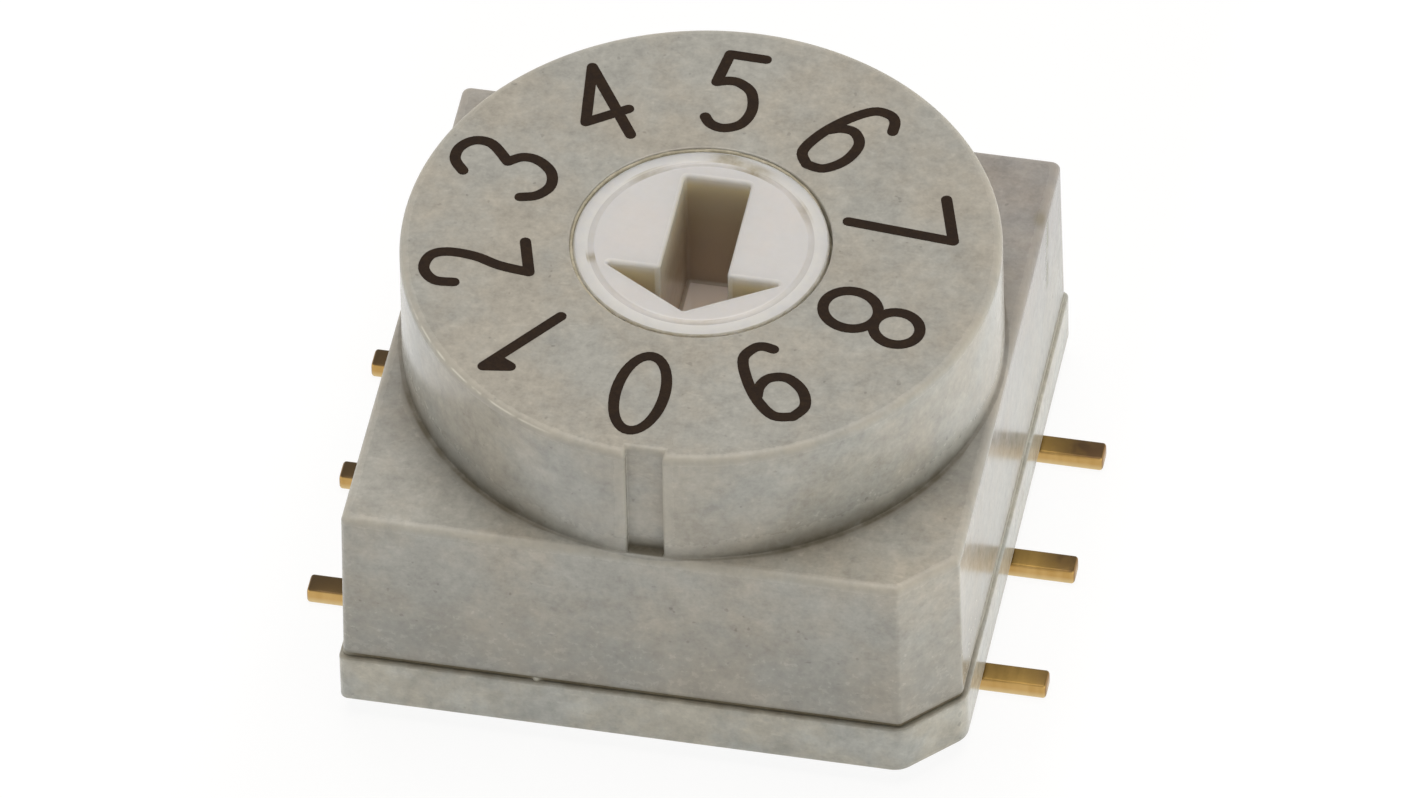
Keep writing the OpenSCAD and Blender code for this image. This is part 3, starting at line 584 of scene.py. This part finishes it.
bright_gold, tree = empty_material("bright_gold")
spot = in_millimetres(tree)
track_wear = ramp(noise(spot, 5.0, 3.0, 0.6), 0.4, 0.7)
fine_ring = put(
    tree, "TexWave", {"Vector": spot, "Scale": 4.0, "Distortion": 1.5, "Detail": 2.0},
    wave_type="RINGS", rings_direction="Z",
).outputs["Fac"]
gold = blend_colour(track_wear, (0.85, 0.63, 0.26, 1), (0.74, 0.52, 0.20, 1))
finish_surface(bright_gold, gold, ramp(fine_ring, 0.2, 0.8, 0.18, 0.32), fine_ring, 0.001, Metallic=1.0)
coat(bright_gold, "contact_1", "contact_2", "contact_4", "contact_8", "contact_common_left")
coat(bright_gold, "contact_common_right", "code_disc")

# Rotor: off-white thermoplastic turned part with an arrow-shaped driver pocket in its face, a fine
# groove inside the rim, ten click notches on the flange and the pivot that sits in the base's boss.
face_z, pocket_z, flange_low, flange_high, neck_low = 6.59, 4.19, 3.29, 4.74, 5.38
pivot_radius, flange_radius, shoulder_radius, neck_radius = 0.7, 3.5, 2.665, 2.035
notch_radius, notch_depth = 0.34, 0.14
pocket_middle = np.array([0, -0.9])


def circle_reach(radius, angles, centre):
    """Distance from a centre to a circle about the axis in each direction, from the law of cosines."""
    toward = centre[0] * np.cos(angles) + centre[1] * np.sin(angles)
    return np.sqrt(toward ** 2 - centre[0] ** 2 - centre[1] ** 2 + radius ** 2) - toward


def arrow_outline(grow):
    """Plan of the driver pocket, grown on all sides: each corner moves along the sum of its sides' normals,
    and its easing grows at outer corners and shrinks at the two inner ones."""
    corners = np.array([
        (-0.54, 1.43), (-0.54, -0.64), (-1.47, -0.64), (0, -1.5), (1.47, -0.64), (0.54, -0.64), (0.54, 1.43),
    ])
    side = np.roll(corners, -1, 0) - corners
    out = np.stack([side[:, 1], -side[:, 0]], -1) / np.linalg.norm(side, axis=1, keepdims=True)
    before = np.roll(out, 1, 0)
    moved = corners + grow * (out + before) / (1 + (out * before).sum(1, keepdims=True))
    ease = np.array([0.07, -0.07, 0.035, 0.07, 0.035, -0.07, 0.07]) + grow
    return rounded_outline(moved, np.maximum(np.abs(ease), 0.012))


pocket_turns = [arrow_outline(grow) - pocket_middle for grow in (-0.02, 0, 0.03, 0.06)]
pocket_angles = np.unique(np.round(np.concatenate(
    [np.arctan2(t[:, 1], t[:, 0]) for t in pocket_turns] + [np.linspace(-np.pi, np.pi, 361)[1:]]
), 3))
neck_far = circle_reach(neck_radius, pocket_angles, pocket_middle)
rotor_angles = np.arctan2(
    neck_far * np.sin(pocket_angles) + pocket_middle[1], neck_far * np.cos(pocket_angles) + pocket_middle[0],
)
rotor_turned, rotor_worn = eased_profile([
    (0.4, 2.09, 0), (pivot_radius, 2.09, 0.06), (pivot_radius, flange_low, 0.04), (1.15, flange_low, 0.02),
    (1.15, 3.41, 0.02), (3.4, 3.41, 0.02), (3.4, flange_low, 0.02), (flange_radius, flange_low, 0.02),
    (flange_radius, flange_high, 0.03), (shoulder_radius, flange_high, 0.03),
    (shoulder_radius, neck_low, 0.03), (neck_radius, neck_low, 0.03), (neck_radius, face_z, 0.05),
    (1.835, face_z, 0.15), (1.75, 6.56, 0.1), (1.685, face_z, 0.08), (1.66, face_z, 0),
])
# The rim's top is painted paler, a painted highlight; the outer edges are paled for wear and painted
# highlight
on_rim = (rotor_turned[:, 0] > 1.8) & (rotor_turned[:, 1] > 6.5)
rotor_worn = np.maximum(rotor_worn * (rotor_turned[:, 0] > 1.9), 0.75 * on_rim)
pocket_wall, pocket_worn = eased_profile([
    (0.07, face_z, 0), (0, face_z, 0.06), (0, pocket_z, 0.04), (-0.1, pocket_z, 0),
])
pocket_steps = np.array([6.46, 6.36, 6.22, 6.0, 5.6, 5.1])
pocket_split = int(np.argmax(pocket_wall[:, 1] < 6.5))
pocket_wall = np.insert(pocket_wall, pocket_split, np.stack([0 * pocket_steps, pocket_steps], -1), 0)
pocket_worn = np.insert(pocket_worn, pocket_split, 0 * pocket_steps)

turned_rings = polar_rings(rotor_turned[:, :1], rotor_turned[:, 1], rotor_angles)
notch_angle = (rotor_angles - np.pi / 2 + np.pi / 10) % (np.pi / 5) - np.pi / 10
notch_side = np.abs(np.linalg.norm(turned_rings[..., :2], axis=-1) * np.sin(notch_angle))
notch_fall = np.sqrt(np.maximum(notch_radius ** 2 - notch_side ** 2, 0))
notch_floor = flange_high + notch_radius - notch_depth - notch_fall
on_flange = (rotor_turned[:, 0] > 2.7) & (rotor_turned[:, 1] > 4.0) & (rotor_turned[:, 1] < 4.75)
in_notch = on_flange[:, None] & (notch_side < 0.3)
turned_rings[..., 2] = np.where(in_notch, np.minimum(turned_rings[..., 2], notch_floor), turned_rings[..., 2])
on_face = rotor_turned[:, 1] > 6.4
face_far = circle_reach(rotor_turned[on_face, :1], pocket_angles, pocket_middle)
face_rings = polar_rings(face_far, rotor_turned[on_face, 1], pocket_angles)
turned_rings[on_face] = face_rings + [*pocket_middle, 0]
pocket_rings = plan_rings(pocket_wall, pocket_angles, arrow_outline, centre=pocket_middle)


def smear(middle, spread, inner, outer, strength):
    """Darkening on the rotor's rim for dirt, and for painted shade as well round its whole groove: a bell
    curve about an angle in degrees, between two distances from the axis."""
    turn = (np.degrees(np.arctan2(turned_rings[..., 1], turned_rings[..., 0])) - middle + 180) % 360 - 180
    band = (rotor_turned[:, 0] > inner) & (rotor_turned[:, 0] < outer) & (rotor_turned[:, 1] > 6.5)
    return strength * band[:, None] * np.exp(-((turn / spread) ** 2))


# Dirt smeared on the rim in places; the first, round the whole groove, is a faint darkening, painted shade
# and dirt
soil_turned = sum(smear(*smudge) for smudge in (
    (0, 900, 1.7, 1.8, 0.16), (88, 9, 1.8, 1.99, 0.9), (72, 11, 1.7, 1.9, 0.8), (130, 10, 1.68, 1.84, 0.5),
    (34, 8, 1.68, 1.84, 0.4), (200, 3, 1.7, 1.84, 0.7), (278, 16, 1.7, 1.8, 0.25),
))
# The neck's outer edge at the running gap is darkened, most in front and least at the back: dirt and painted
# shade
at_gap = (rotor_turned[:, 0] > 2.005) & (rotor_turned[:, 0] < 2.04) & (rotor_turned[:, 1] > 6.0)
soil_turned += at_gap[:, None] * (0.45 - 0.35 * np.sin(rotor_angles))
# Painted highlight down the slot's two corners where it meets the arrow's wings, fading with depth
degree = np.degrees(pocket_angles)
corner_turn = np.minimum(np.abs(degree - 154.3), np.abs(degree - 25.7))
pocket_height = pocket_wall[:, 1:]
pocket_edge = (corner_turn < 3.2) * np.clip((pocket_height - 5.4) / 0.5, 0, 1) * (pocket_height < 6.57)
pocket_deep = np.clip((6.56 - pocket_height) / 1.6, 0, 1)
pocket_floor = (np.arange(len(pocket_wall)) >= len(pocket_wall) - 2) * 1.0
# Painted light on the slot's left wall, which faces the lamps on the right: lightest at the top, fading with
# depth
lit_wall = (pocket_rings[..., 0] < -0.5) & (pocket_rings[..., 1] > -0.62) & (pocket_rings[..., 1] < 1.42)
lit_wall = lit_wall * (1 - pocket_deep) ** 1.6 * (pocket_height < 6.58)
rotor_part = ring_surface(
    "rotor_part",
    np.concatenate([turned_rings, pocket_rings]),
    worn=np.concatenate([
        rotor_worn[:, None] + 0 * rotor_angles, np.maximum(0.5 * pocket_worn[:, None], pocket_edge),
    ]),
    soil=np.concatenate([np.minimum(soil_turned, 1), np.zeros(pocket_edge.shape)]),
    deep=np.concatenate([np.zeros(len(rotor_turned)), pocket_deep[:, 0]]),
    floor=np.concatenate([np.zeros(len(rotor_turned)), pocket_floor]),
    lit=np.concatenate([np.zeros(turned_rings.shape[:2]), lit_wall]),
)
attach(rotor_part, "rotor")
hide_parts("rotor")
white_rotor, tree = empty_material("white_rotor")
grain = place_group(tree, moulded_grain, {
    "Body": (0.76, 0.745, 0.75, 1), "Warm": (0.77, 0.74, 0.73, 1), "Cool": (0.74, 0.74, 0.75, 1),
    "Patch": 1.1, "Drift": 0.5, "Cloud": 0.05, "Speck": 0.04, "Fibre": 0.0,
})
# Painted shade in the pocket: the walls turn tan and then brown with depth. Painted light: the left wall
# lighter at the top, and the floor lighter than the walls above it
deep = mask(tree, "deep")
walls = blend_colour(ramp(deep, 0.0, 0.12), grain["Color"], (0.78, 0.72, 0.57, 1))
walls = blend_colour(ramp(deep, 0.12, 0.6), walls, (0.57, 0.485, 0.365, 1))
walls = blend_colour(ramp(deep, 0.6, 1.0), walls, (0.50, 0.415, 0.33, 1))
walls = blend_colour(mask(tree, "lit"), walls, (0.91, 0.87, 0.78, 1))
walls = blend_colour(mask(tree, "floor"), walls, (0.95, 0.85, 0.79, 1))
edge = place_group(tree, worn_edge, {
    "Color": walls, "Roughness": grain["Roughness"], "Pale": (0.90, 0.885, 0.83, 1), "Amount": 0.8,
})
patchy = ramp(noise(in_millimetres(tree), 3.5, 3.0, 0.65), 0.3, 0.6, 0.5, 1.0)
soil = calc("MULTIPLY", mask(tree, "soil"), patchy)
rotor_colour = blend_colour(soil, edge["Color"], (0.36, 0.31, 0.21, 1))
finish_surface(
    white_rotor, rotor_colour, edge["Roughness"], grain["Height"], 0.0015, Specular_IOR_Level=0.45,
    Subsurface_Weight=0.85, Subsurface_Radius=(1.0, 0.93, 0.8), Subsurface_Scale=0.0008,
)
rotor_part.data.materials.append(white_rotor)

# Dust: pale grime packed into the running gap round the rotor's neck, highest at the back left. On the
# right it has fallen in, and the gap shows as a black line.
dust_angles = np.radians(np.arange(0, 360, 1.5))
dust_profile = np.array([
    (2.06, 6.1), (2.083, 6.1), (2.083, 6.53), (2.078, 6.538), (2.06, 6.54), (2.042, 6.538), (2.038, 6.53),
    (2.038, 6.1),
])
dust_rings = polar_rings(dust_profile[:, :1], dust_profile[:, 1], dust_angles)
dust_swell = 0.006 * np.sin(5 * dust_angles + 1) + 0.005 * np.sin(13 * dust_angles)
dust_swell += 0.004 * np.sin(37 * dust_angles + 2)
dust_swell += 0.014 + 0.034 * np.sin(dust_angles) - 0.032 * np.cos(dust_angles)
dust_swell -= 0.24 * np.exp(-((((np.degrees(dust_angles) + 176) % 360 - 180) / 30) ** 4))
dust_rings[..., 2] += np.where(dust_profile[:, 1:] > 6.4, dust_swell, 0)
gap_dust = ring_surface("gap_dust", dust_rings, joined=True)
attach(gap_dust, "case")
grey_dust, tree = empty_material("grey_dust")
clump = noise(in_millimetres(tree), 6.0, 3.0, 0.65)
dust_colour = blend_colour(ramp(clump, 0.35, 0.65), (0.42, 0.385, 0.29, 1), (0.62, 0.58, 0.47, 1))
finish_patterned(grey_dust, dust_colour, clump, 0.8, 0.95, 0.004, Specular_IOR_Level=0.1)
gap_dust.data.materials.append(grey_dust)

# O-ring and click spring: a black rubber ring round the rotor's neck, and a ring stamped from spring
# steel with two tongues whose curled tips drop into the notches.
black_rubber, tree = empty_material("black_rubber")
bloom = noise(in_millimetres(tree), 4.0, 3.0, 0.6)
rubber = blend_colour(bloom, (0.012, 0.012, 0.012, 1), (0.03, 0.03, 0.028, 1))
finish_patterned(black_rubber, rubber, bloom, 0.45, 0.65, 0.004, Specular_IOR_Level=0.4)
coat(black_rubber, "rotor_seal")
spring_sheet, tree = empty_material("spring_sheet")
rolled = noise(stretched(in_millimetres(tree), (2.0, 26.0, 26.0)), 1.0, 3.0, 0.6)
steel = blend_colour(rolled, (0.50, 0.50, 0.50, 1), (0.64, 0.64, 0.63, 1))
finish_patterned(spring_sheet, steel, rolled, 0.22, 0.38, 0.003, Metallic=1.0)
coat(spring_sheet, "click_spring")

# Gasket: a flat dark ring in the seam, set back from the walls. Its dark colour also stands for the
# seam's shade, a painted shade, so that the seam shows as a thin dark line between base and cover.
brown_gasket, tree = empty_material("brown_gasket")
squeezed = noise(in_millimetres(tree), 3.0, 3.0, 0.6)
gasket = blend_colour(ramp(squeezed, 0.35, 0.65), (0.06, 0.05, 0.035, 1), (0.12, 0.10, 0.07, 1))
finish_patterned(brown_gasket, gasket, squeezed, 0.6, 0.8, 0.01, Specular_IOR_Level=0.3)
coat(brown_gasket, "base_gasket")

# Seam dust: grime packed into the seam, dark and a little set back in front, pale and nearly flush along
# the right wall and round the left front corner. A pale crumb bridges the seam in front, left of the middle.
front_wall, crumb_left, crumb_width = 4.97, 1.81, 0.06
deep_half, flush_half, back_half = 4.91, 4.948, 4.78


def packed_out(angles):
    """How far the seam's dust reaches out, from 0, deep, to 1, flush. It rises along the right wall from its
    front end, and as bell curves round the left front corner and at the crumb."""
    degree = np.degrees(angles)
    across = front_wall * np.tan(np.radians(degree + 90))
    crumb = np.exp(-((across + crumb_left) / crumb_width) ** 2) * (np.abs(degree + 90) < 60)
    right = np.clip((degree + 37) / 12, 0, 1) * np.clip((45 - degree) / 0.5, 0, 1)
    left = np.exp(-((degree + 136) / 1.5) ** 2)
    return np.maximum(np.maximum(crumb, right), left)


crumb_angles = np.radians(-90) - np.arctan(np.linspace(1.9, 1.72, 19) / front_wall)
seam_angles = np.unique(np.concatenate([case_angles, crumb_angles]))
seam_out = packed_out(seam_angles)
seam_deep, seam_flush, seam_back = (
    reach(case_outline(half, corner_ease), seam_angles) for half in (deep_half, flush_half, back_half)
)
seam_face = seam_deep + (seam_flush - seam_deep) * seam_out
seam_dust = ring_surface(
    "seam_dust",
    polar_rings(
        np.stack([seam_back, seam_face - 0.006, seam_face, seam_face, seam_face - 0.006, seam_back]),
        [1.288, 1.288, 1.3, 1.36, 1.372, 1.372], seam_angles,
    ),
    joined=True,
    pale=np.broadcast_to(seam_out, (6, len(seam_angles))),
)
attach(seam_dust, "case")
seam_grime, tree = empty_material("seam_grime")
clump = noise(in_millimetres(tree), 5.0, 3.0, 0.65)
pale = mask(tree, "pale")
seam_colour = blend_colour(ramp(clump, 0.35, 0.65), (0.15, 0.125, 0.08, 1), (0.22, 0.19, 0.13, 1))
seam_colour = blend_colour(pale, seam_colour, (0.54, 0.525, 0.455, 1))
finish_surface(seam_grime, seam_colour, ramp(pale, 0.0, 1.0, 0.8, 0.35), clump, 0.001)
seam_dust.data.materials.append(seam_grime)

# Cover: the upper shell in the same grey plastic, snapped over the deck. The square part and the round
# dial are one moulding, with a groove beside the dial's 0 and a stepped bore for rotor, seal and spring.
seat_z, roof_z, dial_z = 1.37, 4.41, 6.61
dial_radius, groove_half, groove_back, groove_ease = 4.78, 0.3, 4.62, 0.05
foot_radius, roof_half, roof_ease = 4.857, 4.895, 0.12
seal_z, chamber_z, cavity_z = 6.06, 5.24, 3.71
bore_radius, seal_radius, chamber_radius = 2.085, 2.715, 3.83
arc_angles = case_angles[np.abs(case_angles + np.pi / 2) > 0.1]
arc_angles = np.sort(np.where(arc_angles < -np.pi / 2, arc_angles + 2 * np.pi, arc_angles))


def circle_plan(radius):
    """The dial's circle in plan from the groove's right side round to its left side, at this radius or at
    one for each direction."""
    return np.stack([radius * np.cos(arc_angles), radius * np.sin(arc_angles)], -1)


def dial_ring(inset):
    """Plan of the dial set in by a distance: the circle, then the groove's left edge, side, back, right side
    and right edge. Its edges are small arcs that touch circle and side."""
    radius, half, back = dial_radius - inset, groove_half + 0.4 * inset, 0.8 * inset - groove_back
    edge_x = half + groove_ease
    edge_y = -np.sqrt((radius - groove_ease) ** 2 - edge_x ** 2)
    lean = np.arctan2(edge_x, -edge_y)
    left_turn = 1.5 * np.pi - lean + np.linspace(0, 1, 6) * (np.pi / 2 + lean)
    left_edge = np.stack([
        -edge_x + groove_ease * np.cos(left_turn), edge_y + groove_ease * np.sin(left_turn),
    ], -1)
    left_side = np.array([(-half, edge_y + 0.01), (-half, back - 0.02)])
    across = np.array([(-half, back), (-half + 0.02, back), (-half / 2, back), (0, back)])
    left = np.concatenate([left_edge, left_side, across])
    return np.concatenate([circle_plan(radius), left, left[-2::-1] * [-1, 1]])


def both_sides(left):
    """Places along X from the left one to the middle, and the same mirrored."""
    left = np.concatenate(left)
    return np.concatenate([left, -left[-2::-1]])


# Where the groove's columns run on outside and inside the dial's wall, in step with its plan
outer_front, inner_front = 4.9, 4.181
outer_places = both_sides([np.linspace(-0.325, -0.28, 8), [-0.272, -0.25, -0.135, 0]])
inner_places = both_sides([np.linspace(-0.43, -0.39, 8), [-0.384, -0.36, -0.19, 0]])
outer_angles = np.concatenate([arc_angles, np.arctan2(-outer_front, outer_places)])
inner_angles = np.concatenate([arc_angles, np.arctan2(-inner_front, inner_places)])
groove_columns = np.arange(len(outer_angles)) - len(arc_angles)
in_groove = (groove_columns >= 6) & (groove_columns < len(outer_places) - 6)


def edge_fall(points):
    """How far the eased top edge of the square part lies below its roof at each point in plan. The point's
    half width is the largest of its distances from the two middle lines and from the line of the cut."""
    cut_offset = 2.029
    half = np.maximum(np.abs(points[..., 0]), np.abs(points[..., 1]))
    half = np.maximum(half, (points[..., 0] - points[..., 1] - cut_offset) / np.sqrt(2))
    past_flat = np.clip(half - roof_half + roof_ease, 0, roof_ease)
    return roof_ease - np.sqrt(roof_ease ** 2 - past_flat ** 2)


def roof_ring(away, share, front):
    """Ring on the roof: a line this far from the dial's foot, but at most at a share of the way from there
    to the square's own ring, with a straight line in front of the groove's foot."""
    room = np.linalg.norm(square_rings[-1, :len(arc_angles), :2], axis=-1) - foot_radius
    groove_front = np.stack([outer_places, np.full(len(outer_places), -front)], -1)
    ring = np.concatenate([circle_plan(foot_radius + np.minimum(away, share * room)), groove_front])
    return np.column_stack([ring, roof_z - edge_fall(ring)])


square_wall, square_worn = eased_profile([
    (4.75, seat_z, 0), (4.94, seat_z, 0.03), (roof_half, roof_z, roof_ease), (4.6, roof_z, 0),
], 8, fade=0.07)
square_rings = plan_rings(square_wall, outer_angles, case_outline, corner_ease)
# The cover's lower edge at the seam is darkened too: dirt and painted shade
seam_grade = np.clip((1.49 - square_wall[:, 1:]) / 0.12, 0, 1) * 0.6 * seam_dirt(square_rings)
clear_of_dial = 4.862 + 0.002 * np.arange(len(square_wall))[::-1, None]
square_far = np.linalg.norm(square_rings[..., :2], axis=-1)
pushed = (square_far < clear_of_dial) & (square_wall[:, 1] > roof_z - 0.2)[:, None]
square_rings[..., :2] *= np.where(pushed, clear_of_dial / square_far, 1)[..., None]
square_rings[..., 2] = np.where(pushed, roof_z - edge_fall(square_rings), square_rings[..., 2])
roof_rings = np.stack([
    roof_ring(*line) for line in ((0.3, 0.8, 4.84), (0.12, 0.55, 4.825), (0.04, 0.3, 4.81), (0, 0, 4.79))
])

dial_wall, dial_worn = eased_profile([
    (-0.076, roof_z, 0), (-0.02, roof_z, 0.02), (0, dial_z, 0.12), (0.26, dial_z, 0),
], 8, fade=0.05)
dial_steps = np.array([0.1, 0.15, 0.2, 0.3, 0.45, 1.1])
dial_split = int(np.argmax(dial_wall[:, 1] > roof_z + 0.2))
dial_lean = np.stack([-0.02 + 0.02 * dial_steps / 2.2, roof_z + dial_steps], -1)
dial_wall = np.insert(dial_wall, dial_split, dial_lean, 0)
dial_worn = np.insert(dial_worn, dial_split, 0 * dial_steps)
dial_rings = np.stack([
    np.column_stack([dial_ring(inset), np.full(len(outer_angles), height)]) for inset, height in dial_wall
])
dial_rise = dial_wall[:, 1:] - roof_z
dial_rings[..., 2] -= np.clip(1 - dial_rise / 0.3, 0, 1) * edge_fall(dial_rings)
# Dirt and painted shade round the dial's foot: strongest where the roof beside it is wide, fading up the
# dial's wall and out over the roof, and darkest in the groove, on its floor and the foot of its back wall
shelf_width = reach(case_outline(roof_half, corner_ease), outer_angles) - dial_radius
foot_share = 0.35 + 0.6 * np.clip(shelf_width / 0.6 - 0.2, 0, 1)
groove_grime = np.clip(1.0 - dial_rise / 0.28, 0, 1) ** 1.3
foot_grime = np.where(in_groove, groove_grime, foot_share * np.exp(-(dial_rise / 0.25) ** 1.5))
roof_grime = np.array([[0], [0.1], [0.45], [1]]) * foot_share
roof_grime = np.where(in_groove, np.array([[0], [0], [0.35], [0.75]]), roof_grime)
# Painted highlight down the groove's two side edges; the dial's top edge and the square part's upper edges
# are paled for wear and painted highlight
groove_edge = ((groove_columns >= 0) & (groove_columns < 5)) | (groove_columns > len(outer_places) - 6)
dial_rubbed = np.maximum(dial_worn[:, None], groove_edge * (dial_rise < 2.05)) * (dial_rise > 0.3)
# Painted highlight: a thin bright line along the middle of the dial's eased top edge, on the left in front
edge_middle = np.argmax(dial_worn * (dial_wall[:, 1] > 6))
dial_chipped = np.zeros(dial_rings.shape[:2])
dial_chipped[edge_middle] = np.exp(-((np.degrees(outer_angles) % 360 - 229) / 22) ** 4)

stepped_bore, _ = eased_profile([
    (4.2, dial_z, 0), (bore_radius, dial_z, 0.03), (bore_radius, seal_z, 0.03), (seal_radius, seal_z, 0.03),
    (seal_radius, chamber_z, 0.03), (chamber_radius, chamber_z, 0.05), (chamber_radius, cavity_z, 0.03),
    (3.92, cavity_z, 0),
])
cavity_wall, _ = eased_profile([
    (4.06, cavity_z, 0), (4.14, cavity_z, 0.04), (4.14, seat_z, 0.03), (4.25, seat_z, 0),
])
clean_inside = np.zeros((len(stepped_bore) + len(cavity_wall), len(outer_angles)))
square_rubbed = np.where(square_wall[:, 1:] > 3, square_worn[:, None] + 0 * outer_angles, 0)
cover_shell = ring_surface(
    "cover_shell",
    np.concatenate([
        square_rings,
        roof_rings,
        dial_rings,
        polar_rings(stepped_bore[:, :1], stepped_bore[:, 1], inner_angles),
        plan_rings(cavity_wall, inner_angles, inner_outline, 0.8),
    ]),
    joined=True,
    worn=np.concatenate([square_rubbed, 0 * roof_grime, dial_rubbed, clean_inside]),
    grime=np.concatenate([seam_grade, roof_grime, foot_grime, clean_inside]),
    chipped=np.concatenate([0 * seam_grade, 0 * roof_grime, dial_chipped, clean_inside]),
)
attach(cover_shell, "case")
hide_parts("cover")
grey_cover, tree = empty_material("grey_cover")
cover_colour, cover_rough, cover_relief = weathered(tree, {
    "Body": (0.425, 0.41, 0.365, 1), "Warm": (0.45, 0.41, 0.345, 1), "Cool": (0.40, 0.405, 0.385, 1),
    "Patch": 0.55, "Drift": 0.55, "Cloud": 0.42, "Speck": 0.42, "Fibre": 0.08,
}, (0.54, 0.51, 0.44, 1), 0.6, (0.155, 0.135, 0.095, 1))

# Marks on the cover: a broken painted highlight runs along the dial's edge on the left in front. The roof
# and upper walls are painted darker toward the back right, a painted shade, and a little lighter in front,
# a painted light. There is a dark nick in the roof's edge at the back right, and a broken scratch in the
# wall under the nick.
spot = in_millimetres(tree)
place = put(tree, "SeparateXYZ", {0: spot}).outputs
# Painted shade: roof and upper walls darker toward the back right, less so on the left; painted light: a
# little lighter in front
back = calc("MULTIPLY", ramp(place[1], -4.8, 3.5), ramp(place[0], -4.6, 2.0, 0.65, 1.0))
toward_back = blend_colour(back, (1.08, 1.075, 1.07, 1), (0.765, 0.735, 0.76, 1))
up_wall = calc("MULTIPLY", ramp(place[2], 2.4, 4.2), ramp(place[2], 4.5, 4.43))
shade = blend_colour(up_wall, (1, 1, 1, 1), toward_back)
cover_colour = calc_places("MULTIPLY", cover_colour, shade)
# Painted highlight: the glints along the dial's edge, broken by noise
chips = calc("MULTIPLY", mask(tree, "chipped"), ramp(noise(spot, 3.5, 2.0), 0.4, 0.55))
cover_colour = blend_colour(chips, cover_colour, (0.80, 0.78, 0.69, 1))
from_nick = calc_places("SUBTRACT", spot, (4.80, 3.54, 4.4))
from_nick = calc_places("MULTIPLY", from_nick, (1.5, 0.8, 1.0))
nick_away = put(tree, "VectorMath", {0: from_nick}, operation="LENGTH").outputs["Value"]
cover_colour = blend_colour(ramp(nick_away, 0.2, 0.06, 0.0, 0.6), cover_colour, (0.20, 0.175, 0.11, 1))
scratch_y = calc("MULTIPLY_ADD", place[2], 0.106, 3.16)
scratch_away = calc("ABSOLUTE", calc("SUBTRACT", place[1], scratch_y))
scratch_up = calc("ABSOLUTE", calc("SUBTRACT", place[2], 3.6))
scratch = calc("MULTIPLY", ramp(scratch_away, 0.15, 0.03), ramp(place[0], 4.84, 4.87))
scratch = calc("MULTIPLY", scratch, ramp(scratch_up, 0.75, 0.65))
scratch = calc("MULTIPLY", scratch, ramp(noise(spot, 3.0, 1.0), 0.35, 0.55, 0.15, 0.9))
cover_colour = blend_colour(scratch, cover_colour, (0.26, 0.26, 0.19, 1))
cover_relief = calc("MULTIPLY_ADD", scratch, -30.0, cover_relief)
finish_surface(grey_cover, cover_colour, cover_rough, cover_relief, 0.0007)
cover_shell.data.materials.append(grey_cover)

# Numerals: 0 to 9 in dark brown ink, printed on the dial's face and slightly slipped to one side. The
# ink is thinner in places, and a little paler there.
brown_ink, tree = empty_material("brown_ink")
thin_ink = noise(in_millimetres(tree), 9.0, 3.0, 0.65)
ink_colour = blend_colour(ramp(thin_ink, 0.4, 0.75), (0.020, 0.012, 0.008, 1), (0.040, 0.026, 0.017, 1))
finish_patterned(brown_ink, ink_colour, thin_ink, 0.6, 0.8, 0.003, Specular_IOR_Level=0.08)
coat(brown_ink, "dial_numbers")
